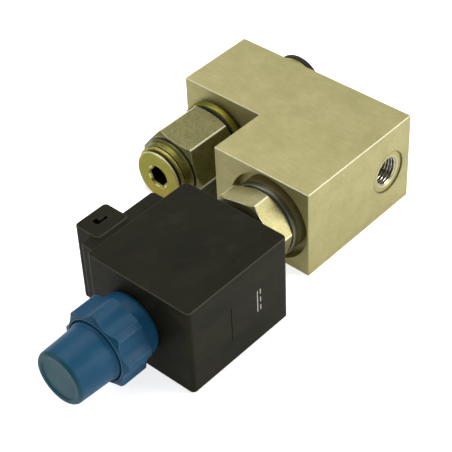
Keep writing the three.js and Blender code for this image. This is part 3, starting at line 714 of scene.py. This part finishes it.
def groove(at, half, bottom, land):
    """Rows of a seal's groove in a turned profile."""
    return [(land, at - half), (bottom, at - half), (bottom, at + half), (land, at + half)]


def seal(node, bm, body="valve_body"):
    """A finished rubber piece."""
    piece(node, bm, RUBBER, body)


def on_valve(rows, angles=None):
    """A turned piece, its rows given as distances out from the block's front face."""
    return turned([(row[0], station(row[1]), *row[2:]) for row in rows], VALVE, angles)


def cartridge():
    """The screwed-in body: nose, sleeve, threaded shank, flange and chamfered hexagon."""
    wide = CARTRIDGE_CORNER_R + 0.4
    out = [(5.1, -52), (8.3, -52), *groove(-47.5, 1.1, 6.8, 8.3), (8.3, -43.7), (9.7, -43.7),
           *groove(-30, 1.2, 8, 9.7), (9.7, -17.7), (11.4, -17.7), (12, -17.1), (12, -6.5), (11.7, -6.5),
           (11.7, -3.9), (FLANGE_R, -3.9), (FLANGE_R, FLANGE_BAND), (FLANGE_R, HEX_REAR - 1.2),
           (FLANGE_R - 0.5, HEX_REAR - 0.7), (FLANGE_R - 1.4, HEX_REAR - 0.7), (FLANGE_R - 1.4, HEX_REAR)]
    head = [(14.6, HEX_REAR, CARTRIDGE_HEX), (wide, HEX_REAR + 1.8, CARTRIDGE_HEX),
            (wide, HEX_FRONT - 1.15, CARTRIDGE_HEX), (15.7, HEX_FRONT, CARTRIDGE_HEX)]
    bore = [(7.2, HEX_FRONT), (7.2, 3.8), (5.1, 3.8)]
    rows = [out[0]] + eased(out, 0.2)[EASE:] + graded(eased(head, 0.3)) + bore
    bm = on_valve(rows, hexagon_angles(CARTRIDGE_TURN))
    reach = FLANGE_R + 1
    flat = along_x(rod(CROSS_PORT_R, -reach, reach, steps=32), CROSS_Y, HEIGHT / 2)
    upright = along_z(rod(CROSS_PORT_R, -reach, reach, steps=32), 0, CROSS_Y, HEIGHT / 2)
    return carved(bm, flat, upright)


def rear_bush():
    """The rubber bush between the coil and the hexagon, with a waist near the hexagon."""
    rear, front = HEX_FRONT + REST, FRONT - COIL_REAR - REST
    rows = [(9.7, rear), (12.4, rear), (12.4, rear + 2.9), (11.7, rear + 3.3), (11.7, rear + 4.3),
            (12.4, rear + 4.7), (12.4, front), (9.7, front)]
    return on_valve(eased(rows, 0.4))


cartridge_body = piece("cartridge_body", cartridge(), CARTRIDGE_ZINC)
# painted shade on the flange from the plated band out to the hexagon
repaint(cartridge_body, FLANGE_PAINTED_SHADE,
        lambda middle: station(FLANGE_BAND) > middle.y > station(HEX_REAR - 0.1))
seal("coil_rear_seal", rear_bush())

# ---- Hidden turned pieces: the CAD profile again, round and eased ----


def profile_of(node, centre):
    """The (radius, y) corners of a turned CAD node, in order round its section."""
    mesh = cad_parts[node].data
    bm = bmesh.new()
    bm.from_mesh(mesh)
    bmesh.ops.scale(bm, vec=(1 / MM,) * 3, verts=bm.verts)
    bmesh.ops.remove_doubles(bm, verts=bm.verts, dist=1e-3)
    tolerance = 5e-3
    above = [v for v in bm.verts if abs(v.co.x - centre[0]) < tolerance and v.co.z > centre[1] - tolerance]
    chosen = set(above)
    links = {v: [e.other_vert(v) for e in v.link_edges if e.other_vert(v) in chosen] for v in above}
    on_axis = [v for v in above if v.co.z - centre[1] < tolerance]
    start = on_axis[0] if on_axis else above[0]
    chain = [start]
    while True:
        onward = [v for v in links[chain[-1]] if v not in chain and not (v in on_axis and len(chain) == 1)]
        if not onward:
            break
        chain.append(onward[0])
    corners = [(max(v.co.z - centre[1], 0.0), v.co.y) for v in chain]
    bm.free()
    return [(0.0 if r < tolerance else r, y) for r, y in corners]


def refined(node, material, body="valve_body", centre=VALVE):
    """A turned CAD node made again with fine round surfaces."""
    bm = turned(eased(profile_of(node, centre), 0.2), centre, even_angles(96))
    piece(node, bm, material, body)


OIL_SLOT = (6.4, 9, 0.9)    # inner and outer reach, half width


def slotted_armature():
    """The plunger, with its two oil slots."""
    low, high = span("armature")
    radius = (high.x - low.x) / 2
    rows = [(0, low.y), (radius, low.y), (radius, high.y), (0, high.y)]
    bm = turned(eased(rows, 0.4), VALVE, even_angles(96))
    inner, outer, half = OIL_SLOT
    slots = []
    for side in (-1, 1):
        left, right = sorted((inner * side, outer * side))
        slots.append(rounded_block((left, low.y - 1, VALVE[1] - half), (right, high.y + 1, VALVE[1] + half),
                                   axis=1, corner=0.2, edge=0.1))
    return carved(bm, *slots)


piece("armature", slotted_armature(), IRON, "spool_group")
for body, slot, material, nodes in (
        ("valve_body", "bright_steel", STEEL, ("armature_tube", "tube_end_plug")),
        ("valve_body", "soft_iron", IRON, ("pole_piece",)),
        ("valve_body", "brass", BRASS, ("spring_seat",)),
        ("spool_group", "bright_steel", STEEL, ("push_pin", "spool")),
        ("override_button", "brass", BRASS, ("override_pin",)),
        ("coil", "soft_iron", IRON, ("flux_washer_rear", "flux_washer_front", "yoke_tube")),
        ("coil", "bobbin_nylon", NYLON, ("coil_bobbin",)),
        ("coil", "copper", COPPER, ("coil_winding",))):
    for node in nodes:
        refined(node, material, body)
refined("check_poppet", BRANCH_STEEL, "check", BRANCH)


def o_ring(node, section):
    """A round rubber ring where the CAD has a faceted one."""
    low, high = span(node)
    radius = (high.x - low.x) / 2 - section
    middle = (low.y + high.y) / 2
    around = [2 * math.pi * k / 20 for k in range(20)]
    rows = [(radius + section * math.cos(a), middle + section * math.sin(a)) for a in around]
    seal(node, turned(rows, VALVE, even_angles(96)))


for node, section in (("cartridge_seal", 0.75), ("sleeve_seal", 0.8), ("nose_seal", 0.75)):
    o_ring(node, section)


WIRE_R = 0.45


def spring(node, centre, turns):
    """A compression spring of round wire."""
    low, high = span(node)
    radius = (high.x - low.x) / 2 - WIRE_R
    steps, sides = 36 * turns, 10
    bottom, top = low.y + WIRE_R, high.y - WIRE_R
    section = [2 * math.pi * k / sides for k in range(sides)]
    bm = bmesh.new()
    loops = []
    for i in range(steps + 1):
        angle = 2 * math.pi * turns * i / steps
        outward = Vector((math.cos(angle), 0, math.sin(angle)))
        heart = Vector((centre[0], bottom + (top - bottom) * i / steps, centre[1])) + outward * radius
        loops.append([bm.verts.new(heart + outward * WIRE_R * math.cos(a)
                                   + Vector((0, WIRE_R * math.sin(a), 0))) for a in section])
    steel = STEEL if centre == VALVE else BRANCH_STEEL
    made = piece(node, skinned(bm, loops), steel)
    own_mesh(made)


spring("return_spring", VALVE, 4)
spring("check_spring", BRANCH, 5)

# ---- Coil ----

COIL_TOP, COIL_BOTTOM = COIL_HIGH.z, COIL_LOW.z
COIL_RIGHT = COIL_HIGH.x
COIL_LEFT = -28
LEDGE_WIDTH = 6.4
LEDGE_DROP = 0.8
LEDGE_FRONT_SETBACK, LEDGE_REAR_SETBACK = 3, 11.2
COIL_CORNER_R = 1.8
COIL_EDGE_R = 0.45
SHROUD_LEFT = COIL_LOW.x
SHROUD_Y = (COIL_FRONT + 8.2, COIL_FRONT + 24.2)
SHROUD_MID = sum(SHROUD_Y) / 2
SHROUD_BOTTOM = VALVE[1] - 15.5
SHROUD_WALL = 1.3
SOCKET_ROOF = SHROUD_BOTTOM + 20
BLADE_X = (SHROUD_LEFT + COIL_LEFT) / 2
BLADE_HALF = (0.4, 1.4)
BLADE_OFFSET = 2.5
BLADE_ROOT = SOCKET_ROOF + 4
MARK_Y, MARK_Z = COIL_FRONT + 35, VALVE[1]
MARK_LENGTH, MARK_STROKE, MARK_PITCH, MARK_HEIGHT = 10.0, 0.6, 1.6, 0.03
LATCH_WIDTH, LATCH_DEPTH, CATCH_WIDTH = 5.6, 2.5, 2.4
GROOVE_Y, GROOVE_HALF, GROOVE_DEPTH = MARK_Y - 13.9, 0.2, 0.25
COIL_BORE_R = 9.8
CAN_R = 17.5
CAN_FROM, CAN_TO = COIL_REAR - 3.2, COIL_FRONT + 3.2


def blade_slot(side):
    y = SHROUD_MID + side * BLADE_OFFSET
    half_x, half_y = BLADE_HALF[0] + REST, BLADE_HALF[1] + REST
    return rounded_block((BLADE_X - half_x, y - half_y, SOCKET_ROOF - 1),
                         (BLADE_X + half_x, y + half_y, BLADE_ROOT + REST), corner=0.1, edge=0.05)


def rating_mark():
    """The sign for direct current, a bar beside three dashes, printed on the case's right face."""
    bars = [(0.0, 0.0, 1.0)] + [(1.0, share, 0.24) for share in (-0.38, 0.0, 0.38)]
    marks = []
    for step, along, length in bars:
        y = MARK_Y + MARK_PITCH * step
        z = MARK_Z + MARK_LENGTH * along
        half = MARK_LENGTH * length / 2
        marks.append(rounded_block((COIL_RIGHT - 0.3, y - MARK_STROKE / 2, z - half),
                                   (COIL_RIGHT + MARK_HEIGHT, y + MARK_STROKE / 2, z + half),
                                   corner=0.01, edge=0.01))
    return marks


def coil_case():
    """The moulded case: a box with rounded uprights, a lower ledge on its left, the plug shroud with its
    latch pocket, and a printed sign and a witness groove on its right face."""
    split = COIL_LEFT + LEDGE_WIDTH
    main = rounded_block((split, COIL_FRONT, COIL_BOTTOM), (COIL_RIGHT, COIL_REAR, COIL_TOP),
                         corner=COIL_CORNER_R, edge=COIL_EDGE_R)
    ledge = rounded_block((COIL_LEFT, COIL_FRONT + LEDGE_FRONT_SETBACK, COIL_BOTTOM + LEDGE_DROP),
                          (split + 2 * COIL_CORNER_R, COIL_REAR - LEDGE_REAR_SETBACK, COIL_TOP - LEDGE_DROP),
                          corner=COIL_CORNER_R, edge=COIL_EDGE_R)
    shroud = rounded_block((SHROUD_LEFT, SHROUD_Y[0], SHROUD_BOTTOM), (COIL_LEFT + 4, SHROUD_Y[1], COIL_TOP),
                           corner=COIL_CORNER_R, edge=0.5)
    bore = rod(COIL_BORE_R, COIL_REAR + 1, COIL_FRONT - 1, VALVE)
    can = rod(CAN_R, CAN_FROM, CAN_TO, VALVE)
    socket = rounded_block((SHROUD_LEFT + SHROUD_WALL, SHROUD_Y[0] + SHROUD_WALL, SHROUD_BOTTOM - 1),
                           (COIL_LEFT - 0.6, SHROUD_Y[1] - SHROUD_WALL, SOCKET_ROOF),
                           corner=0.5, edge=0.3)
    latch_front, latch_floor = SHROUD_MID - LATCH_WIDTH / 2, COIL_TOP - LATCH_DEPTH
    slot = rounded_block((COIL_LEFT - 2.8, latch_front, latch_floor),
                         (COIL_LEFT - 1.4, latch_front + LATCH_WIDTH, COIL_TOP + 1), corner=0.2, edge=0.2)
    catch = rounded_block((COIL_LEFT - 4.8, latch_front, latch_floor),
                          (COIL_LEFT - 2, latch_front + CATCH_WIDTH, COIL_TOP + 1), corner=0.2, edge=0.2)
    witness = rounded_block(
        (COIL_RIGHT - GROOVE_DEPTH, GROOVE_Y - GROOVE_HALF, COIL_BOTTOM + 10),
        (COIL_RIGHT + 1, GROOVE_Y + GROOVE_HALF, COIL_BOTTOM + 26), corner=0.05, edge=0.05)
    case = combined(main, (ledge, shroud, *rating_mark()), "UNION")
    return carved(case, bore, can, socket, slot, catch, witness, blade_slot(-1), blade_slot(1))


def terminal_blade(node):
    """A flat blade whose tip is drawn in on all four sides."""
    low, high = span(node)
    bm = rounded_block(low, high, corner=0.12, edge=0.1)
    lead = 0.8
    for vert in bm.verts:
        rise = (vert.co.z - low.z) / lead
        if rise < 1:
            draw = 0.45 + 0.55 * rise
            vert.co.x = BLADE_X + (vert.co.x - BLADE_X) * draw
            middle = (low.y + high.y) / 2
            vert.co.y = middle + (vert.co.y - middle) * (0.7 + 0.3 * rise)
    return bm


case = piece("coil_housing", coil_case(), BLACK_PLASTIC, "coil")
repaint(case, WHITE_INK, lambda middle: middle.x > COIL_RIGHT + MARK_HEIGHT / 3)
for blade in ("terminal_blade_1", "terminal_blade_2"):
    piece(blade, terminal_blade(blade), BRASS, "coil")

# ---- Nut and cap ----

NUT_REAR, NUT_LOBES, NUT_FRONT = 73.5, 79.5, 92.2
NUT_BORE_R = 7.85
NUT_COLLAR_R = 13
NUT_LOBE_R, NUT_VALLEY_R = 15.7, 13.7
RECESS_R = NUT_VALLEY_R - 0.8
LOBES = 8
CAP_SEAT, CAP_END = 90.2, 110
CAP_RIM_R, CAP_BASE_R, CAP_END_R = 12, 11.5, 10.9
SPIGOT_R, SPIGOT_END = 9.6, 96


def lobes(angle, _y):
    """Radius of the nut's grip: eight ridges with a hollow between each two."""
    pitch = 2 * math.pi / LOBES
    ridge = pitch * 0.24
    off = abs((angle + pitch / 2) % pitch - pitch / 2)
    if off < ridge / 2:
        return NUT_LOBE_R
    share = (off - ridge / 2) / (pitch - ridge) * 2
    return NUT_LOBE_R - (NUT_LOBE_R - NUT_VALLEY_R) * math.sin(math.pi / 2 * share) ** 0.7


def coil_nut():
    """The nut: collar, lobed grip, a recess for the cap and the spigot that the cap slides on."""
    wide = NUT_LOBE_R + 1
    collar = [(NUT_BORE_R, NUT_REAR), (10, NUT_REAR), (10, NUT_REAR + 1.7), (12.2, NUT_REAR + 1.7),
              (12.2, NUT_REAR), (12.4, NUT_REAR), (NUT_COLLAR_R, NUT_REAR + 1.2), (NUT_COLLAR_R, NUT_LOBES)]
    grip = [(NUT_VALLEY_R - 0.3, NUT_LOBES, lobes), (wide, NUT_LOBES + 1.2, lobes),
            (wide, NUT_FRONT - 1.2, lobes), (NUT_VALLEY_R - 0.4, NUT_FRONT, lobes)]
    inner = [(RECESS_R, NUT_FRONT), (RECESS_R, CAP_SEAT - REST), (SPIGOT_R, CAP_SEAT - REST),
             (SPIGOT_R, SPIGOT_END), (NUT_BORE_R, SPIGOT_END)]
    rows = eased(collar, 0.25)[:-EASE - 1] + [collar[-1]]
    rows += graded(eased(grip, 0.3)) + eased(inner, 0.2)
    return on_valve(rows, even_angles(240))


def cap():
    """The override cap: a rim at its seat, a slight taper and a dished end."""
    bore, roof = SPIGOT_R + 0.2, CAP_END - 2.4
    rows = [(0, CAP_END - 0.6), (8.2, CAP_END - 0.6), (8.7, CAP_END), (CAP_END_R - 0.7, CAP_END),
            (CAP_END_R, CAP_END - 1.0), (CAP_BASE_R, NUT_FRONT + 1.2), (CAP_RIM_R, NUT_FRONT + 0.8),
            (CAP_RIM_R, CAP_SEAT), (bore, CAP_SEAT), (bore, SPIGOT_END + 1), (bore - 0.8, SPIGOT_END + 1),
            (bore - 1, roof), (0, roof)]
    return on_valve(eased(rows, 0.35))


piece("coil_nut", coil_nut(), BLUE_PLASTIC, "nut")
seal("nut_seal", on_valve(eased(ring(10.2, 12, NUT_REAR - 0.3, NUT_REAR + 1.6), 0.3)), "nut")
pulled = piece("override_cap", cap(), BLUE_PLASTIC, "cap")
repaint(pulled, FADED_BLUE, lambda middle: middle.y < station(CAP_END - 1))

# ---- Check valve in the notch ----

FITTING_TURN = 51
FITTING_HEX = hexagon(FITTING_AF, FITTING_TURN)
SCREW_R = 8.13
COLLAR_R = 15.6
COLLAR_REAR, COLLAR_FACE = 1.2, 4.3
HOUSING_REAR, HOUSING_HEX_END, HOUSING_FRONT = 5.2, 28.6, 34.2
LIP = 1.1              # height of the lip at the housing's front, brightened as a painted highlight
STUD_END, CHAMBER_END, CHAMBER_R = 15, 24, 7
PLUG_END, PLUG_SEAT, PLUG_FACE = 26, 35, 36.1
KEY_AF, KEY_DEPTH = 8, 5
KEY = hexagon(KEY_AF, FITTING_TURN)
KEY_CORNER_R = KEY_AF / math.sqrt(3)


def on_branch(rows, angles=None):
    """A turned piece, its rows given as distances out from the notch's back wall."""
    return turned([(row[0], branch_station(row[1]), *row[2:]) for row in rows], BRANCH, angles)


def stud_adapter():
    rows = [(THROUGH_R, -10), (SCREW_R - 0.8, -10), (SCREW_R, -9.2), (SCREW_R, REST), (9.4, REST),
            (9.4, COLLAR_REAR), (COLLAR_R - 0.5, COLLAR_REAR), (COLLAR_R, COLLAR_REAR + 0.5),
            (COLLAR_R, COLLAR_FACE - 0.5), (COLLAR_R - 0.5, COLLAR_FACE), (SCREW_R, COLLAR_FACE),
            (SCREW_R, STUD_END), (THROUGH_R, STUD_END)]
    return on_branch(eased(rows, 0.25))


def check_housing():
    """The hexagonal body, its front collar and the chamber inside."""
    thread = BRANCH_THREAD_R
    wide = FITTING_CORNER_R + 0.4
    flat = FITTING_AF / 2
    chamfer = 1.6
    bore_rear = [(thread, STUD_END + 1), (thread, HOUSING_REAR)]
    hexed = [(flat - 0.2, HOUSING_REAR, FITTING_HEX), (wide, HOUSING_REAR + chamfer, FITTING_HEX),
             (wide, HOUSING_HEX_END - chamfer, FITTING_HEX), (flat - 0.2, HOUSING_HEX_END, FITTING_HEX)]
    collar = [(12, HOUSING_HEX_END), (12, HOUSING_HEX_END + 0.9), (13.2, HOUSING_HEX_END + 0.9),
              (12.5, HOUSING_HEX_END + 2), (12.3, HOUSING_FRONT - LIP - 0.4),
              (11.5, HOUSING_FRONT - LIP - 0.4), (11.5, HOUSING_FRONT - LIP), (12, HOUSING_FRONT - LIP),
              (12, HOUSING_FRONT - 0.3), (11.6, HOUSING_FRONT), (thread, HOUSING_FRONT),
              (thread, CHAMBER_END), (CHAMBER_R, CHAMBER_END), (CHAMBER_R, STUD_END + 1)]
    rows = bore_rear + graded(eased(hexed, 0.3)) + eased(collar, 0.15)
    return on_branch(rows, hexagon_angles(FITTING_TURN))


def branch_plug():
    """The screwed plug: a thin head with a turned face and a hexagonal socket."""
    floor = PLUG_FACE - KEY_DEPTH
    rows = [(0, PLUG_END), (SCREW_R - 0.8, PLUG_END), (SCREW_R, PLUG_END + 0.8), (SCREW_R, PLUG_SEAT - 0.5),
            (10.2, PLUG_SEAT - 0.5 + REST), (10.2, PLUG_SEAT), (PLUG_HEAD_R - 0.4, PLUG_SEAT),
            (PLUG_HEAD_R, PLUG_SEAT + 0.4), (PLUG_HEAD_R, PLUG_FACE - 0.35), (PLUG_HEAD_R - 0.35, PLUG_FACE)]
    mouth = [(KEY_CORNER_R + 0.55, PLUG_FACE), (KEY_CORNER_R + 0.3, PLUG_FACE - 0.75, KEY),
             (KEY_CORNER_R + 1, PLUG_FACE - 1.3, KEY), (KEY_CORNER_R + 1, floor, KEY),
             (3.6, floor, KEY), (0, floor - 1.2)]
    outer = eased(rows, 0.15)
    return on_branch(outer + mouth, hexagon_angles(FITTING_TURN))


def in_key(place):
    """Whether a place is in the plug's hexagon socket, below its countersink."""
    reach = math.hypot(place.x - BRANCH[0], place.z - BRANCH[1])
    depth = PLUG_FACE - (NOTCH_WALL - place.y)
    return reach < KEY_CORNER_R + 0.2 and 0.8 < depth < KEY_DEPTH + 2


def branch_ring(outer, rear, front, inner=SCREW_R + 0.2):
    """A flat ring on the check valve's line."""
    return on_branch(eased(ring(inner, outer, rear, front), 0.2))


piece("stud_adapter", stud_adapter(), BRANCH_ZINC)
seal("stud_seal", branch_ring(13, REST, COLLAR_REAR - REST, inner=9.6))
seal("housing_seal", branch_ring(15, COLLAR_FACE + REST, HOUSING_REAR - REST))
housing = piece("check_housing", check_housing(), HEXAGON_ZINC)
repaint(housing, COLLAR_ZINC, lambda middle: middle.y < branch_station(HOUSING_HEX_END))
# painted highlight on the lip at the housing's front
repaint(housing, LIP_ZINC_PAINTED_HIGHLIGHT, lambda middle: middle.y < branch_station(HOUSING_FRONT - LIP))
plug = piece("branch_plug", branch_plug(), PLUG_ZINC)
repaint(plug, SHADED_STEEL, in_key)
# the plug's seal is painted dark as painted shade in the gap round the head
piece("plug_seal", branch_ring(10.7, HOUSING_FRONT + REST, PLUG_SEAT - REST), SEAL_COPPER_PAINTED_SHADE)

# ---- Adapter behind the block ----

REAR_COLLAR_END, REAR_CAP_END = 11, 13.6
REAR_COLLAR_R, REAR_CAP_R, REAR_SPIGOT_R = 11.3, 11.7, 6.4


def behind(rows):
    """A turned piece, its rows given as distances behind the block's back face."""
    return turned([(radius, BACK + out) for radius, out in rows], REAR)


def rear_adapter():
    rows = [(THROUGH_R, -10), (SCREW_R - 0.8, -10), (SCREW_R, -9.2), (SCREW_R, 1.4), (REAR_COLLAR_R, 1.4),
            (REAR_COLLAR_R, 4.6), (REAR_COLLAR_R - 0.6, 5), (REAR_COLLAR_R - 0.6, 6), (REAR_COLLAR_R, 6.4),
            (REAR_COLLAR_R, REAR_COLLAR_END), (REAR_SPIGOT_R + 0.2, REAR_COLLAR_END),
            (REAR_SPIGOT_R + 0.2, 2), (THROUGH_R, 2)]
    return behind(eased(rows, 0.25))


def rear_cap():
    face = REAR_COLLAR_END + REST
    rows = [(0, 5), (REAR_SPIGOT_R - 0.4, 5), (REAR_SPIGOT_R, 6), (REAR_SPIGOT_R, face), (REAR_CAP_R, face),
            (REAR_CAP_R, REAR_CAP_END - 0.4), (REAR_CAP_R - 0.5, REAR_CAP_END), (4.6, REAR_CAP_END),
            (4.2, REAR_CAP_END - 0.8), (0, REAR_CAP_END - 0.8)]
    return behind(eased(rows, 0.3))


piece("rear_adapter", rear_adapter(), REAR_ZINC)
seal("rear_seal", behind(eased(ring(SCREW_R + 0.2, 10.4, REST, 1.3))))
piece("rear_port_cap", rear_cap(), CAP_BLACK)

# ---- Studio ----

TARGET = Vector((-8.5, -46.2, 20)) * MM
AZIMUTH, ELEVATION, ROLL = 43.57, 41.07, -2.93
DISTANCE = 551.5 * MM
LENS = 116.17
FLOOR_SIZE = 3000       # half its side, in millimetres
FLOOR_GLOW = 0.31       # light the floor gives the valve
FLOOR_SEEN = 0.75       # light the floor gives the camera, so that it reads as white paper
NOOK_REACH = (16, 13)   # half width and depth in the notch, where the floor is left in shadow
WORLD_LIGHT = 0.26
LIGHTS = (              # name, place in metres, size, power
    ("key", (0.9, 0.60, 0.50), 0.5, 6.7),
    ("top", (-0.2, 0.25, 1.0), 0.8, 5.2),
    ("right", (1.0, -0.45, 0.25), 0.5, 1),
    ("front", (-0.65, -0.85, 0.7), 0.4, 3),
    ("left", (-0.95, 0.66, 0.46), 0.35, 1.1),
)


def camera():
    """The viewpoint: off the front right corner, looking down, with a slight roll."""
    data = bpy.data.cameras.new("camera")
    data.lens = LENS
    data.sensor_width = 36
    made = added("camera", data)
    azimuth, elevation = math.radians(AZIMUTH), math.radians(ELEVATION)
    away = Vector((math.sin(azimuth) * math.cos(elevation),
                   -math.cos(azimuth) * math.cos(elevation), math.sin(elevation)))
    turn = away.to_track_quat("Z", "Y").to_matrix().to_4x4() @ Matrix.Rotation(math.radians(ROLL), 4, "Z")
    made.matrix_world = Matrix.Translation(TARGET + away * DISTANCE) @ turn
    bpy.context.scene.camera = made


def paper():
    """White paper that gives the valve some light and looks evenly lit, but for the notch, where the
    block's shadow is deep."""
    look = Look("paper")
    where = look.place()
    fibre = look.noise(where, 0.5, 4)
    across, along = look.parts(where)[:2]
    off_x = look.math("ABSOLUTE", look.math("SUBTRACT", across, BRANCH[0]), 0.0)
    off_y = look.math("ABSOLUTE", look.math("SUBTRACT", along, NOTCH_WALL - NOOK_REACH[1]), 0.0)
    nook = look.times(look.range(off_x, NOOK_REACH[0], NOOK_REACH[0] + 8, 1, 0),
                     look.range(off_y, NOOK_REACH[1] - 3, NOOK_REACH[1] + 5, 1, 0))
    direct = look.node("LightPath").outputs["Is Camera Ray"]
    shaded = look.times(direct, nook)
    white = look.mix(look.range(fibre, 0.3, 0.7), (0.93, 0.93, 0.93, 1), (0.96, 0.96, 0.96, 1))
    glow = look.times(look.range(direct, 0, 1, FLOOR_GLOW, FLOOR_SEEN),
                     look.range(shaded, 0, 1, 1, 0))
    look.set(Base_Color=look.mix(look.times(shaded, 0.8), white, (70, 66, 50)),
             Roughness=0.9, Emission_Color=(1, 1, 1, 1), Emission_Strength=glow)
    return look.material


def floor():
    """A plain pale floor."""
    bm = bmesh.new()
    bmesh.ops.create_grid(bm, x_segments=1, y_segments=1, size=FLOOR_SIZE)
    made = holder("floor", bm)
    made.data.materials.append(paper())


def soft_light(name, place, size, power):
    """A square white soft box at a place in metres, facing the valve."""
    data = bpy.data.lights.new(name, "AREA")
    data.size = size
    data.energy = power
    made = added(name, data)
    place = Vector(place)
    turn = (place - TARGET).to_track_quat("Z", "Y").to_matrix().to_4x4()
    made.matrix_world = Matrix.Translation(place) @ turn


def studio():
    world = bpy.data.worlds.new("studio")
    bpy.context.scene.world = world
    world.use_nodes = True
    background = world.node_tree.nodes["Background"]
    background.inputs["Color"].default_value = (1, 1, 1, 1)
    background.inputs["Strength"].default_value = WORLD_LIGHT
    bpy.context.scene.view_settings.view_transform = "Standard"
    for light in LIGHTS:
        soft_light(*light)


camera()
floor()
studio()
